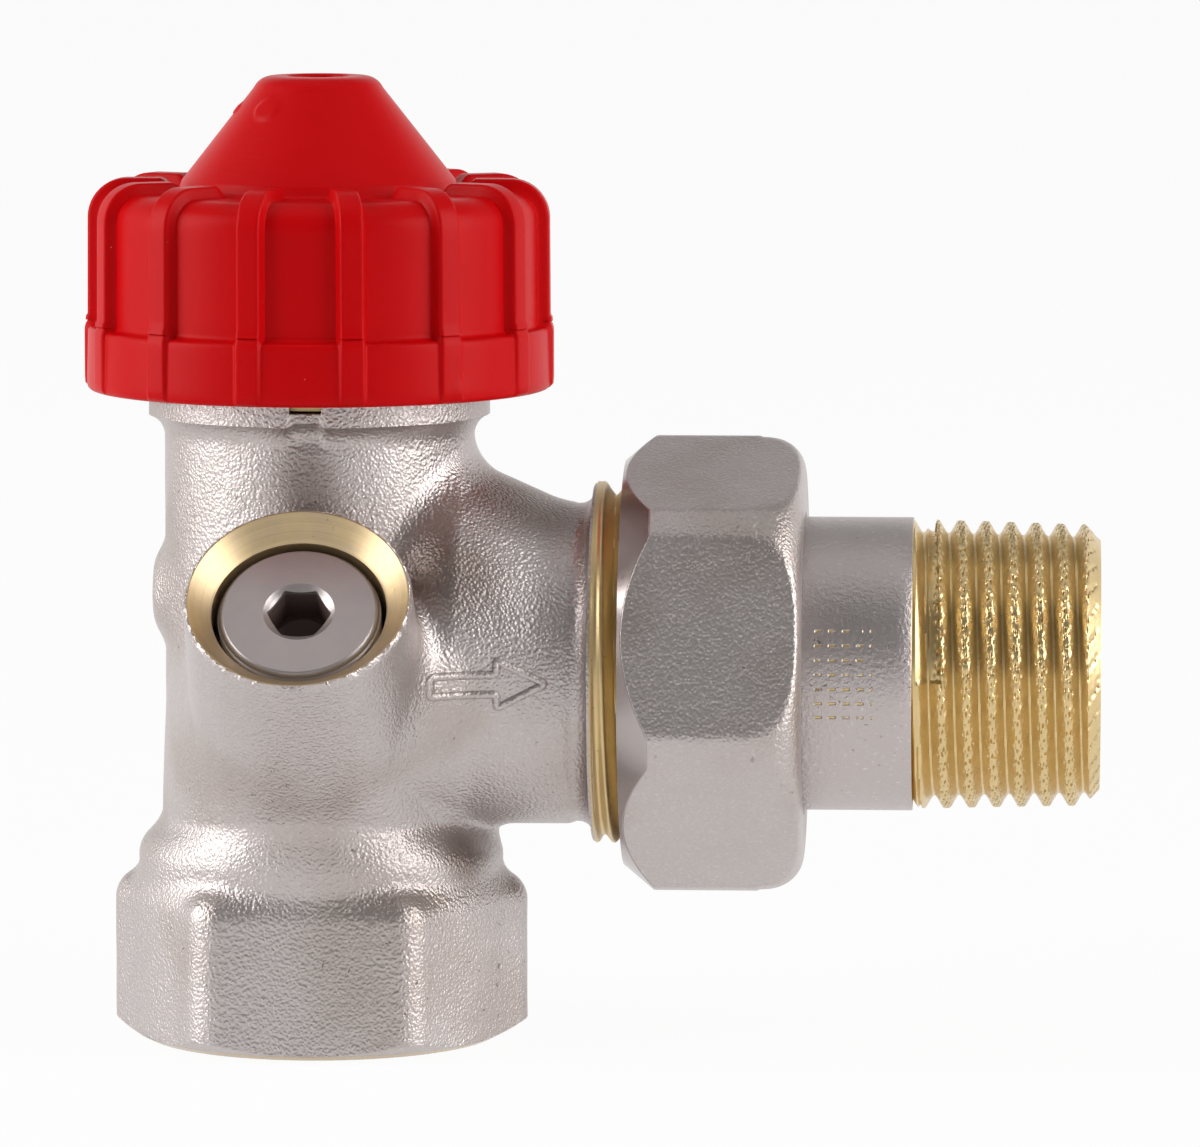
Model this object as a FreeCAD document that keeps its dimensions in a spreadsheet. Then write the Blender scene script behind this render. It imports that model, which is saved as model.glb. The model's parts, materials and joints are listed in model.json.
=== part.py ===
"""Angle flow control valve for a 1/2 inch line, built as an assembly of separate pieces.

The valve stands on its inlet. +Z runs up the valve axis from the mouth of the inlet socket, +X runs out
along the outlet, and the regulating port leans forward and up from the inlet chamber towards -Y.
Lengths are in millimetres and angles in degrees. Every driving size sits in the spreadsheet "dims".
"""

import FreeCAD, Part
import math
import os

import Sketcher

SIZES = {
    # forged body, outside
    "hex_across_flats": 27.0,
    "hex_corner_radius": 15.0,
    "hex_height": 10.7,
    "base_face_radius": 12.95,
    "base_chamfer_height": 1.1,
    "hex_top_slope": 1.7,
    "shoulder_radius": 13.4,
    "shoulder_top": 13.6,
    "shoulder_round": 2.6,
    "neck_radius": 11.3,
    "neck_start": 16.9,
    "collar_drop": 4.1,
    "collar_slope": 1.2,
    "collar_radius": 12.35,
    "body_height": 49.0,
    # outlet branch and the root that carries it
    "outlet_height": 27.5,
    "branch_radius": 11.65,
    "branch_flare_length": 1.7,
    "branch_length": 20.7,
    "gusset_radius": 13.3,
    "gusset_start": 10.6,
    "gusset_end": 18.0,
    "gusset_round": 5.0,
    # parallel pipe thread between body and union nut
    "union_thread_radius": 13.22,
    "union_thread_length": 10.0,
    "pipe_pitch": 1.814,
    "pipe_thread_depth": 1.0,
    "thread_clearance": 0.12,
    # regulating port
    "port_height": 15.2,
    "port_angle": 45.0,
    "port_reach": 25.46,
    "port_boss_radius": 8.3,
    "countersink_depth": 1.6,
    "countersink_width": 1.6,
    "port_mouth_radius": 6.25,
    "port_mouth_depth": 2.2,
    "port_thread_length": 3.8,
    "port_seal_radius": 3.3,
    "port_seal_depth": 11.06,
    "port_guide_wall": 1.0,
    # bores of the body
    "inlet_bore_radius": 9.32,
    "inlet_thread_length": 13.5,
    "mouth_chamfer": 0.45,
    "inlet_chamber_radius": 8.0,
    "seat_bore_radius": 4.6,
    "seat_bore_start": 17.6,
    "seat_height": 27.2,
    "seat_tower_radius": 6.3,
    "seat_lip": 0.8,
    "chamber_radius": 8.2,
    "chamber_floor": 20.4,
    "insert_bore_start": 36.5,
    "insert_bore_radius": 9.45,
    "rim_depth": 2.3,
    "rim_bore_radius": 11.35,
    "outlet_bore_radius": 7.3,
    "tail_socket_radius": 9.6,
    "tail_socket_depth": 6.2,
    # marks and pads of the forging
    "notch_width": 2.3,
    "pad_height": 32.6,
    "pad_base_radius": 4.2,
    "pad_face_radius": 2.7,
    "pad_reach": 12.1,
    "arrow_start": 9.2,
    "arrow_neck": 13.8,
    "arrow_tip": 17.3,
    "arrow_shaft_width": 1.9,
    "arrow_head_width": 3.9,
    "arrow_line_width": 0.5,
    "arrow_relief": 0.25,
    # clearances shared by every joint
    "turned_fit": 0.04,
    "rest_gap": 0.15,
    "ring_gap": 0.03,
    # union nut
    "nut_across_flats": 30.0,
    "nut_corner_radius": 16.65,
    "nut_gap": 1.7,
    "nut_length": 13.1,
    "nut_face_radius": 14.8,
    "nut_chamfer_length": 2.2,
    "nut_back_radius": 14.1,
    "nut_back_round": 2.7,
    "nut_shoulder": 2.0,
    "nut_turn": 13.7,
    "slip_washer_thickness": 0.4,
    # tailpiece
    "tail_barrel_radius": 10.7,
    "tail_barrel_length": 21.0,
    "tail_thread_length": 13.6,
    "tail_bore_radius": 7.3,
    "tail_collar_radius": 11.9,
    "tail_collar_thickness": 2.1,
    "tail_nose_length": 5.6,
    "tail_thread_radius": 10.5,
    "tail_runout": 1.5,
    "tail_taper": 1.79,
    "tail_end_chamfer": 0.9,
    "tail_groove_depth": 1.4,
    # insert housing with the thread that carries the cap
    "housing_bottom": 36.9,
    "housing_groove_depth": 1.1,
    "housing_groove_height": 40.0,
    "head_thread_radius": 15.0,
    "head_thread_end": 57.3,
    "head_pitch": 1.5,
    "head_thread_depth": 0.85,
    "barrel_radius": 7.6,
    # presetting barrel and crown
    "barrel_skirt_bottom": 27.6,
    "barrel_skirt_wall": 1.1,
    "barrel_skirt_top": 41.0,
    "barrel_window_width": 9.2,
    "barrel_window_bottom": 28.8,
    "barrel_window_top": 34.6,
    "barrel_groove_height": 47.0,
    "barrel_groove_depth": 1.3,
    "crown_radius": 12.2,
    "crown_thickness": 2.2,
    "crown_teeth": 24,
    "crown_tooth_depth": 0.9,
    "crown_tooth_width": 1.5,
    "spring_cavity_radius": 4.8,
    "spring_floor": 44.0,
    "gland_start": 52.9,
    "gland_thread_radius": 5.6,
    "gland_across_flats": 11.0,
    "gland_head_height": 1.4,
    "gland_seal_height": 55.2,
    "gland_groove_depth": 1.3,
    # pin, disc and return spring
    "pin_radius": 1.5,
    "pin_bottom": 28.2,
    "pin_top": 64.3,
    "pin_stroke": 2.8,
    "disc_radius": 5.5,
    "disc_thickness": 2.0,
    "carrier_radius": 6.1,
    "carrier_thickness": 1.6,
    "carrier_rim": 1.0,
    "disc_nut_across_flats": 5.0,
    "disc_nut_thickness": 1.5,
    "spring_plate_radius": 4.4,
    "spring_plate_height": 51.3,
    "spring_plate_thickness": 0.9,
    "clip_radius": 2.6,
    "clip_thickness": 0.5,
    "clip_groove_depth": 0.4,
    "spring_radius": 3.4,
    "spring_wire_radius": 0.4,
    "spring_turns": 4.0,
    # hand cap
    "cap_base": 47.6,
    "cap_lip_radius": 17.2,
    "cap_lip_height": 1.9,
    "cap_lip_bevel": 0.35,
    "cap_skirt_radius": 16.9,
    "cap_skirt_top": 52.1,
    "cap_wall_radius": 16.1,
    "cap_deck": 62.0,
    "cap_deck_round": 2.0,
    "cap_cone_base_radius": 10.3,
    "cap_cone_top_radius": 4.7,
    "cap_cone_top": 69.0,
    "cap_top": 70.3,
    "cap_top_radius": 3.4,
    "cap_shell": 2.0,
    "cap_thread_clearance": 0.1,
    "cap_relief_top": 59.0,
    "cap_ceiling": 60.4,
    "cap_dome_radius": 8.0,
    "cap_dome_top": 66.2,
    "cap_dome_top_radius": 4.0,
    "cap_hole_radius": 2.2,
    "cap_hole_depth": 2.0,
    "cap_rib_count": 14,
    "cap_rib_width": 1.95,
    "cap_rib_height": 0.75,
    "thrust_pad_radius": 2.9,
    "dust_ring_inner_gap": 0.5,
    "dust_ring_width": 1.4,
    "dust_ring_thickness": 1.1,
    # regulating spindle
    "spindle_head_radius": 5.85,
    "spindle_head_thickness": 0.55,
    "spindle_thread_radius": 5.8,
    "spindle_pitch": 1.0,
    "spindle_thread_depth": 0.55,
    "spindle_thread_setback": 1.36,
    "spindle_thread_length": 3.0,
    "spindle_seal_depth": 7.46,
    "spindle_groove_depth": 1.0,
    "spindle_seal_land": 0.9,
    "shank_radius": 2.2,
    "shank_tip": 6.6,
    "socket_across_flats": 4.0,
    "socket_depth": 3.2,
    "socket_mouth_radius": 2.55,
}


class Size:
    """A length or angle that carries its value and the spreadsheet expression that drives it."""

    def __init__(self, value, text):
        self.value = float(value)
        self.text = text

    def __add__(self, other):
        return Size(self.value + value_of(other), f"({self.text} + {text_of(other)})")

    def __sub__(self, other):
        return Size(self.value - value_of(other), f"({self.text} - {text_of(other)})")

    def __mul__(self, other):
        return Size(self.value * value_of(other), f"({self.text} * {text_of(other)})")

    def __truediv__(self, other):
        return Size(self.value / value_of(other), f"({self.text} / {text_of(other)})")

    def __neg__(self):
        return Size(-self.value, f"(0 - {self.text})")


def value_of(size):
    return size.value if isinstance(size, Size) else float(size)


def text_of(size):
    return size.text if isinstance(size, Size) else f"{float(size)}"


def sine(angle):
    return Size(math.sin(math.radians(angle.value)), f"sin({angle.text} * 1 deg)")


def cosine(angle):
    return Size(math.cos(math.radians(angle.value)), f"cos({angle.text} * 1 deg)")


def tangent(angle):
    return sine(angle) / cosine(angle)


class Sizes:
    """Every driving dimension by its name, each one a Size bound to its cell."""

    def __init__(self, table):
        for name, value in table.items():
            setattr(self, name, Size(value, f"dims.{name}"))


class Bend:
    """Makes the side between two corners an arc: side 1 turns left on the way, side -1 turns right."""

    def __init__(self, radius, side):
        self.radius = radius
        self.side = side


def write_sheet(doc):
    """Fills the spreadsheet with the driving dimensions, one aliased cell for each."""
    sheet = doc.addObject("Spreadsheet::Sheet", "dims")
    for row, (name, value) in enumerate(SIZES.items(), 1):
        sheet.set(f"A{row}", name)
        sheet.set(f"B{row}", str(value))
        sheet.setAlias(f"B{row}", name)
    doc.recompute()


# ---- sketches -------------------------------------------------------------------------------------


def new_body(doc, label):
    body = doc.addObject("PartDesign::Body", label)
    body.Label = label
    return body


def origin_part(body, role):
    return [o for o in body.Origin.OriginFeatures if o.Role == role][0]


def new_sketch(body, name, plane="XZ_Plane", move=(0, 0, 0), turn=0):
    """A sketch on one of the body's own planes, moved along that plane's axes and turned about its normal."""
    sketch = body.newObject("Sketcher::SketchObject", name)
    sketch.AttachmentSupport = (origin_part(body, plane), [""])
    sketch.MapMode = "FlatFace"
    base = FreeCAD.Vector(*[value_of(m) for m in move])
    spin = FreeCAD.Rotation(FreeCAD.Vector(0, 0, 1), value_of(turn))
    sketch.AttachmentOffset = FreeCAD.Placement(base, spin)
    for axis, shift in zip("xyz", move):
        if isinstance(shift, Size):
            sketch.setExpression(f"AttachmentOffset.Base.{axis}", shift.text)
    if isinstance(turn, Size):
        sketch.setExpression("AttachmentOffset.Rotation.Angle", turn.text)
    return sketch


def arc_between(start, end, radius, side):
    """The short arc of that radius from start to end, turning left for side 1 and right for side -1."""
    chord = end - start
    half = chord.Length / 2
    rise = math.sqrt(max(radius * radius - half * half, 0.0))
    left = FreeCAD.Vector(-chord.y, chord.x, 0).normalize()
    centre = (start + end) * 0.5 + left * rise * side
    middle = centre - left * radius * side
    return Part.Arc(start, middle, end)


def pin_point(sketch, edge, end, point):
    """Fixes one end of an edge at a point whose coordinates follow the spreadsheet."""
    for direction, axis, size in (("DistanceX", -2, point[0]), ("DistanceY", -1, point[1])):
        value = value_of(size)
        if value == 0:
            sketch.addConstraint(Sketcher.Constraint("PointOnObject", edge, end, axis))
            continue
        ends = (-1, 1, edge, end) if value > 0 else (edge, end, -1, 1)
        index = sketch.addConstraint(Sketcher.Constraint(direction, *ends, abs(value)))
        if isinstance(size, Size):
            text = size.text if value > 0 else f"0 - {size.text}"
            sketch.setExpression(f"Constraints[{index}]", text)


def draw(sketch, outline):
    """Draws a closed outline of corners (u, v); a Bend between two corners makes that side an arc."""
    corners = []
    bends = {}
    for item in outline:
        if isinstance(item, Bend):
            bends[len(corners) - 1] = item
        else:
            corners.append(item)
    first = sketch.GeometryCount
    spots = [FreeCAD.Vector(value_of(u), value_of(v), 0) for u, v in corners]
    ends = []
    for i, spot in enumerate(spots):
        after = spots[(i + 1) % len(spots)]
        bend = bends.get(i)
        if bend is None:
            edge = Part.LineSegment(spot, after)
        else:
            edge = arc_between(spot, after, value_of(bend.radius), bend.side)
        sketch.addGeometry(edge, False)
        # a sketch numbers an arc's ends counter-clockwise, so a right-hand arc is met end first
        ends.append((2, 1) if bend is not None and bend.side < 0 else (1, 2))
    for i, corner in enumerate(corners):
        before = (i - 1) % len(spots)
        joint = (first + before, ends[before][1], first + i, ends[i][0])
        sketch.addConstraint(Sketcher.Constraint("Coincident", *joint))
        pin_point(sketch, first + i, ends[i][0], corner)
    for i, bend in bends.items():
        constraint = Sketcher.Constraint("Radius", first + i, value_of(bend.radius))
        index = sketch.addConstraint(constraint)
        sketch.setExpression(f"Constraints[{index}]", bend.radius.text)


def draw_circle(sketch, centre, radius):
    """Draws one circle whose centre and radius follow the spreadsheet."""
    spot = FreeCAD.Vector(value_of(centre[0]), value_of(centre[1]), 0)
    circle = Part.Circle(spot, FreeCAD.Vector(0, 0, 1), radius.value)
    edge = sketch.addGeometry(circle, False)
    pin_point(sketch, edge, 3, centre)
    index = sketch.addConstraint(Sketcher.Constraint("Radius", edge, radius.value))
    sketch.setExpression(f"Constraints[{index}]", radius.text)


# ---- features ------------------------------------------------------------------------------------


def bind(feature, **sizes):
    """Sets properties to sizes and ties each one to its spreadsheet expression."""
    for name, size in sizes.items():
        setattr(feature, name, size.value)
        feature.setExpression(name, size.text)


def turned(body, outline, name="Turned", cut=False, **where):
    """Revolves an outline of (radius, height) corners about the sketch's upright axis, or cuts it away."""
    sketch = new_sketch(body, name + "Outline", **where)
    draw(sketch, outline)
    kind = "PartDesign::Groove" if cut else "PartDesign::Revolution"
    feature = body.newObject(kind, name)
    feature.Profile = (sketch, [""])
    feature.ReferenceAxis = (sketch, ["V_Axis"])
    feature.Angle = 360
    return feature


def straight(body, outlines, length, name="Plate", cut=False, **where):
    """Extrudes outlines along the sketch plane's normal, or pockets them against that normal."""
    sketch = new_sketch(body, name + "Outline", **where)
    for outline in outlines:
        draw(sketch, outline)
    feature = body.newObject("PartDesign::Pocket" if cut else "PartDesign::Pad", name)
    feature.Profile = (sketch, [""])
    bind(feature, Length=length)
    return feature


def around(body, feature, count, name):
    """Repeats a feature evenly about the body's own Z axis."""
    pattern = body.newObject("PartDesign::PolarPattern", name)
    pattern.Originals = [feature]
    pattern.Axis = (origin_part(body, "Z_Axis"), [""])
    pattern.Angle = 360
    pattern.Occurrences = int(count.value)
    pattern.setExpression("Occurrences", count.text)
    body.Tip = pattern
    return pattern


def thread_cut(body, outline, pitch, height, name="Thread", **where):
    """Cuts a right-handed helical groove whose section is the outline, in (radius, height) corners."""
    sketch = new_sketch(body, name + "Section", **where)
    draw(sketch, outline)
    feature = body.newObject("PartDesign::SubtractiveHelix", name)
    feature.Profile = (sketch, [""])
    feature.ReferenceAxis = (sketch, ["V_Axis"])
    feature.Mode = 0
    bind(feature, Pitch=pitch, Height=height)
    return feature


def male_groove(crest, depth, pitch, middle):
    """Section of the groove between two turns of an outside thread."""
    return [
        (crest + depth * 0.15, middle - pitch * 0.40),
        (crest - depth, middle - pitch * 0.07),
        (crest - depth, middle + pitch * 0.07),
        (crest + depth * 0.15, middle + pitch * 0.40),
    ]


def female_groove(crest, depth, pitch, middle):
    """Section of the groove of an inside thread, with room on both flanks for the mating turn."""
    return [
        (crest - depth * 0.15, middle - pitch * 0.475),
        (crest + depth, middle - pitch * 0.145),
        (crest + depth, middle + pitch * 0.145),
        (crest - depth * 0.15, middle + pitch * 0.475),
    ]


def hexagon(across_flats):
    """Corners of a hexagon with two flats square to the sketch's upright axis."""
    half = across_flats / 2
    corner = across_flats / math.sqrt(3)
    return [
        (corner, 0),
        (corner / 2, half),
        (-corner / 2, half),
        (-corner, 0),
        (-corner / 2, -half),
        (corner / 2, -half),
    ]


def rectangle(left, bottom, right, top):
    return [(left, bottom), (right, bottom), (right, top), (left, top)]


def place(feature, base=(0, 0, 0), axis=(0, 0, 1), angle=0):
    """Puts a finished piece in the valve, with every driven coordinate and angle tied to the sheet."""
    feature.Placement = FreeCAD.Placement(
        FreeCAD.Vector(*[value_of(b) for b in base]),
        FreeCAD.Rotation(FreeCAD.Vector(*axis), value_of(angle)),
    )
    for letter, shift in zip("xyz", base):
        if isinstance(shift, Size):
            feature.setExpression(f"Placement.Base.{letter}", shift.text)
    if isinstance(angle, Size):
        feature.setExpression("Placement.Rotation.Angle", angle.text)


def seal_ring(doc, label, inner, outer, gap, **where):
    """A round-section sealing ring that fills the room between two walls, less a small gap."""
    ring = doc.addObject("Part::Torus", label)
    ring.Label = label
    bind(ring, Radius1=(inner + outer) / 2, Radius2=(outer - inner) / 2 - gap)
    place(ring, **where)
    return ring


def flat_ring(body, inner, outer, low, high, name="Ring", **where):
    return turned(body, rectangle(inner, low, outer, high), name, **where)


def on_outlet(d):
    """Sketch placing for a profile turned about the outlet axis, with its heights along +X."""
    return {"move": (0, d.outlet_height, 0), "turn": -90}


def on_port(d):
    """Sketch placing for a profile turned about the port axis, with its heights out of the port."""
    return {"plane": "YZ_Plane", "move": (0, d.port_height, 0), "turn": d.port_angle}


def place_on_outlet(feature, d, start=0):
    place(feature, (start, 0, d.outlet_height), (0, 1, 0), 90)


def place_on_port(feature, d, start=0):
    """Puts a piece made along Z on the port axis, a distance out from where that axis meets the valve axis."""
    along = start if isinstance(start, Size) else d.port_reach * 0
    base = (0, -(along * sine(d.port_angle)), d.port_height + along * cosine(d.port_angle))
    place(feature, base, (1, 0, 0), d.port_angle)


# ---- heights and lengths shared by several pieces ----------------------------------------------------


def branch_end(d):
    return d.branch_length + d.union_thread_length


def nut_start(d):
    return d.branch_length + d.nut_gap


def tail_collar_start(d):
    return branch_end(d) + d.rest_gap


def tail_barrel_end(d):
    return nut_start(d) + d.tail_barrel_length


def tail_end(d):
    return tail_barrel_end(d) + d.tail_thread_length


def nut_floor(d):
    return d.nut_length - d.nut_shoulder


def union_groove_middle(d):
    """Where the first turn of the branch thread starts, under the outlet axis."""
    return d.branch_length


def collar_start(d):
    return d.body_height - d.collar_drop


def rim_floor(d):
    return d.body_height - d.rim_depth


def head_ring_base(d):
    return d.body_height + d.rest_gap


def head_groove_middle(d):
    """The cap's thread starts half a pitch below the ring, so that its first turn cuts in from outside."""
    return head_ring_base(d) - d.head_pitch * 0.5


def port_thread_start(d):
    return d.port_reach - d.port_mouth_depth - d.port_thread_length


def port_seal_start(d):
    return d.port_reach - d.port_seal_depth


def spindle_thread_top(d):
    return d.port_reach - d.spindle_thread_setback


def spindle_thread_bottom(d):
    return spindle_thread_top(d) - d.spindle_thread_length


def spindle_seal_position(d):
    return d.port_reach - d.spindle_seal_depth


def spindle_seal_bottom(d):
    return spindle_seal_position(d) - d.spindle_seal_land


def spindle_groove_middle(d):
    return spindle_thread_bottom(d) - d.spindle_pitch * 0.5


def crown_base(d):
    return d.head_thread_end + d.rest_gap


def crown_top(d):
    return crown_base(d) + d.crown_thickness


def open_disc_face(d):
    """Height of the disc's sealing face with the valve fully open."""
    return d.seat_height + d.pin_stroke


# ---- valve body ----------------------------------------------------------------------------------


def forged_outside(body, d):
    """The hexagonal foot, the stem above it, the outlet branch, the port boss and the clamping pad."""
    shoulder_start = d.hex_height + d.hex_top_slope
    straight(body, [hexagon(d.hex_across_flats)], shoulder_start, "Foot", plane="XY_Plane")
    beyond = d.hex_corner_radius * 1.3
    corners = [
        (d.base_face_radius, 0),
        (d.hex_corner_radius, d.base_chamfer_height),
        (d.hex_corner_radius, d.hex_height),
        (d.shoulder_radius, shoulder_start),
        (beyond, shoulder_start),
        (beyond, 0),
    ]
    turned(body, corners, "FootCorners", cut=True)
    stem = [
        (0, d.hex_height / 2),
        (d.shoulder_radius, d.hex_height / 2),
        (d.shoulder_radius, d.shoulder_top),
        Bend(d.shoulder_round, 1),
        (d.neck_radius + 0.4, d.neck_start - 0.9),
        (d.neck_radius, d.neck_start),
        (d.neck_radius, collar_start(d)),
        (d.collar_radius, collar_start(d) + d.collar_slope),
        (d.collar_radius, d.body_height),
        (0, d.body_height),
    ]
    turned(body, stem, "Stem")
    end = branch_end(d)
    branch = [
        (0, d.neck_radius * 0.1),
        (d.branch_radius, d.neck_radius * 0.1),
        (d.branch_radius, d.branch_length - d.branch_flare_length),
        Bend(d.branch_flare_length * 1.3, -1),
        (d.union_thread_radius, d.branch_length),
        (d.union_thread_radius, end - 0.6),
        (d.union_thread_radius - 1.0, end),
        (0, end),
    ]
    turned(body, branch, "Branch", **on_outlet(d))
    gusset(body, d)
    tip = d.port_reach + d.countersink_depth
    boss = [
        (0, d.port_boss_radius * 0.2),
        (d.port_boss_radius, d.port_boss_radius * 0.2),
        (d.port_boss_radius, tip - 0.4),
        (d.port_boss_radius - 0.4, tip),
        (0, tip),
    ]
    turned(body, boss, "PortBoss", **on_port(d))
    pad = [
        (0, 0),
        (d.pad_base_radius + 0.6, 0),
        (d.pad_base_radius, d.neck_radius - 0.4),
        (d.pad_face_radius, d.pad_reach),
        (0, d.pad_reach),
    ]
    turned(body, pad, "ClampingPad", move=(0, d.pad_height, 0), turn=90)


def gusset(body, d):
    """The root of the outlet branch: it rounds out of the stem and tapers down onto the branch."""
    root_lift = d.gusset_radius - d.branch_radius + 0.1
    last = d.gusset_round * 0
    stations = [("GussetTip", d.gusset_end, d.branch_radius - 0.03, last)]
    for name, degrees in (("Root", 0), ("Swell", 25), ("Turn", 50), ("Heel", 75)):
        back = d.gusset_round * math.sin(math.radians(degrees))
        drop = d.gusset_round * (1 - math.cos(math.radians(degrees)))
        stations.append(("Gusset" + name, d.gusset_start - back, d.gusset_radius - drop, root_lift))
    rings = []
    for name, reach, radius, lift in stations:
        where = {"plane": "YZ_Plane", "move": (0, d.outlet_height + lift, reach)}
        ring = new_sketch(body, name, **where)
        draw_circle(ring, (0, 0), radius)
        rings.append(ring)
    loft = body.newObject("PartDesign::AdditiveLoft", "Gusset")
    loft.Profile = (rings[0], [""])
    loft.Sections = [(ring, [""]) for ring in rings[1:]]
    loft.Ruled = True


def forging_marks(body, d):
    """The index notch through the collar and the raised outline of the flow arrow on the branch."""
    half = d.notch_width / 2
    notch = rectangle(-half, rim_floor(d), half, d.body_height + 1)
    depth = d.collar_radius - d.rim_bore_radius + 1.5
    place_at = {"move": (0, 0, d.collar_radius + 0.5)}
    straight(body, [notch], depth, "IndexNotch", cut=True, **place_at)
    root = d.branch_radius - 1.2
    outer = arrow_outline(d, d.arrow_line_width * 0)
    inner = arrow_outline(d, d.arrow_line_width)
    straight(body, [outer, inner], d.arrow_relief + 1.2, "FlowArrow", move=(0, 0, root))


def arrow_outline(d, inset):
    """An arrow that points along the outlet, drawn in from its edge by an inset."""
    shaft = d.arrow_shaft_width / 2 - inset
    head = d.arrow_head_width / 2 - inset * 1.6
    middle = d.outlet_height
    neck = d.arrow_neck + inset
    tip = d.arrow_tip - inset * 1.9
    tail = d.arrow_start + inset
    return [
        (tail, middle - shaft),
        (neck, middle - shaft),
        (neck, middle - head),
        (tip, middle),
        (neck, middle + head),
        (neck, middle + shaft),
        (tail, middle + shaft),
    ]


def flow_passages(body, d):
    """The stepped bores on the valve axis, the outlet axis and the port axis."""
    above_seat = [
        (0, d.seat_height),
        (d.seat_bore_radius + d.seat_lip, d.seat_height),
        (d.seat_tower_radius, d.seat_height - 1.0),
        (d.seat_tower_radius, d.chamber_floor),
        (d.chamber_radius, d.chamber_floor),
        (d.chamber_radius, d.insert_bore_start),
        (d.insert_bore_radius, d.insert_bore_start),
        (d.insert_bore_radius, rim_floor(d)),
        (d.rim_bore_radius, rim_floor(d)),
        (d.rim_bore_radius, d.body_height + 1),
        (0, d.body_height + 1),
    ]
    turned(body, above_seat, "SeatChamber", cut=True)
    end = branch_end(d)
    socket = end - d.tail_socket_depth
    first = d.seat_tower_radius + 0.3
    outlet = [
        (0, first),
        (d.outlet_bore_radius - 1.2, first),
        (d.outlet_bore_radius, first + 1.2),
        (d.outlet_bore_radius, socket - 1.2),
        (d.tail_socket_radius, socket),
        (d.tail_socket_radius, end - 0.5),
        (d.tail_socket_radius + 1.5, end + 1),
        (0, end + 1),
    ]
    turned(body, outlet, "OutletBore", cut=True, **on_outlet(d))
    hole = d.shank_radius + d.turned_fit * 2
    guide = hole + d.port_guide_wall
    inside = d.seat_bore_radius * 1.2
    turned(body, rectangle(0, inside, guide, port_seal_start(d)), "ShankGuide", **on_port(d))
    below_seat = [
        (0, -1),
        (d.inlet_bore_radius + d.mouth_chamfer + 1, -1),
        (d.inlet_bore_radius, d.mouth_chamfer),
        (d.inlet_bore_radius, d.inlet_thread_length),
        (d.inlet_chamber_radius, d.inlet_thread_length + 0.8),
        (d.seat_bore_radius, d.seat_bore_start),
        (d.seat_bore_radius, d.seat_height + 1),
        (0, d.seat_height + 1),
    ]
    turned(body, below_seat, "InletBore", cut=True)
    thread = d.spindle_thread_radius - d.spindle_thread_depth + d.thread_clearance
    thread_start = port_thread_start(d)
    mouth = d.port_reach - d.port_mouth_depth
    reach = d.port_reach + d.countersink_depth
    port = [
        (0, d.seat_bore_radius * 0.5),
        (hole, d.seat_bore_radius * 0.5),
        (hole, port_seal_start(d)),
        (d.port_seal_radius, port_seal_start(d) + 0.6),
        (d.port_seal_radius, thread_start),
        (thread, thread_start),
        (thread, mouth),
        (d.port_mouth_radius, mouth),
        (d.port_mouth_radius, d.port_reach),
        (d.port_mouth_radius + d.countersink_width * 1.5, reach + d.countersink_depth / 2),
        (0, reach + d.countersink_depth / 2),
    ]
    turned(body, port, "PortBore", cut=True, **on_port(d))


def valve_body(doc, d):
    body = new_body(doc, "valve_body")
    forged_outside(body, d)
    forging_marks(body, d)
    flow_passages(body, d)
    groove = male_groove(
        d.union_thread_radius, d.pipe_thread_depth, d.pipe_pitch, union_groove_middle(d)
    )
    run = d.union_thread_length + d.pipe_pitch * 0.5
    thread_cut(body, groove, d.pipe_pitch, run, "UnionThread", **on_outlet(d))
    crest = d.spindle_thread_radius - d.spindle_thread_depth + d.thread_clearance
    # half a pitch and whole pitches below the spindle's groove, whose section lies a quarter turn back
    middle = spindle_groove_middle(d) - d.spindle_pitch * 2.25
    female = female_groove(crest, d.spindle_thread_depth, d.spindle_pitch, middle)
    run = d.port_reach - d.port_mouth_depth - middle + d.spindle_pitch * 0.6
    thread_cut(body, female, d.spindle_pitch, run, "PortThread", **on_port(d))
    return body


# ---- outlet union -----------------------------------------------------------------------------------


def union_nut(doc, d):
    """Hexagon nut with a turned front chamfer, a rounded back and a shoulder that draws the tailpiece in."""
    body = new_body(doc, "union_nut")
    turn = {"plane": "XY_Plane", "turn": -d.nut_turn}
    straight(body, [hexagon(d.nut_across_flats)], d.nut_length, "Hexagon", **turn)
    beyond = d.nut_corner_radius * 1.3
    corners = [
        (d.nut_face_radius, 0),
        (d.nut_corner_radius, d.nut_chamfer_length),
        (d.nut_corner_radius, d.nut_length - d.nut_back_round),
        Bend(d.nut_back_round * 1.1, 1),
        (d.nut_back_radius, d.nut_length),
        (beyond, d.nut_length),
        (beyond, 0),
    ]
    turned(body, corners, "TurnedCorners", cut=True)
    crest = d.union_thread_radius - d.pipe_thread_depth + d.thread_clearance
    root = d.union_thread_radius + d.thread_clearance * 2
    relief = branch_end(d) - nut_start(d) + 0.3
    floor = nut_floor(d)
    hole = d.tail_barrel_radius + d.rest_gap
    bore = [
        (0, -1),
        (root + 1, -1),
        (crest, root - crest),
        (crest, relief),
        (root, relief + 0.4),
        (root, floor),
        (hole, floor),
        (hole, d.nut_length + 1),
        (0, d.nut_length + 1),
    ]
    turned(body, bore, "Bore", cut=True)
    # the female groove takes the male crest, half a pitch on from the male groove
    middle = union_groove_middle(d) + d.pipe_pitch * 0.5 - nut_start(d)
    groove = female_groove(crest, d.pipe_thread_depth, d.pipe_pitch, middle)
    run = relief + 1.0 - middle
    thread_cut(body, groove, d.pipe_pitch, run, "NutThread")
    place_on_outlet(body, d, nut_start(d))
    return body


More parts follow.
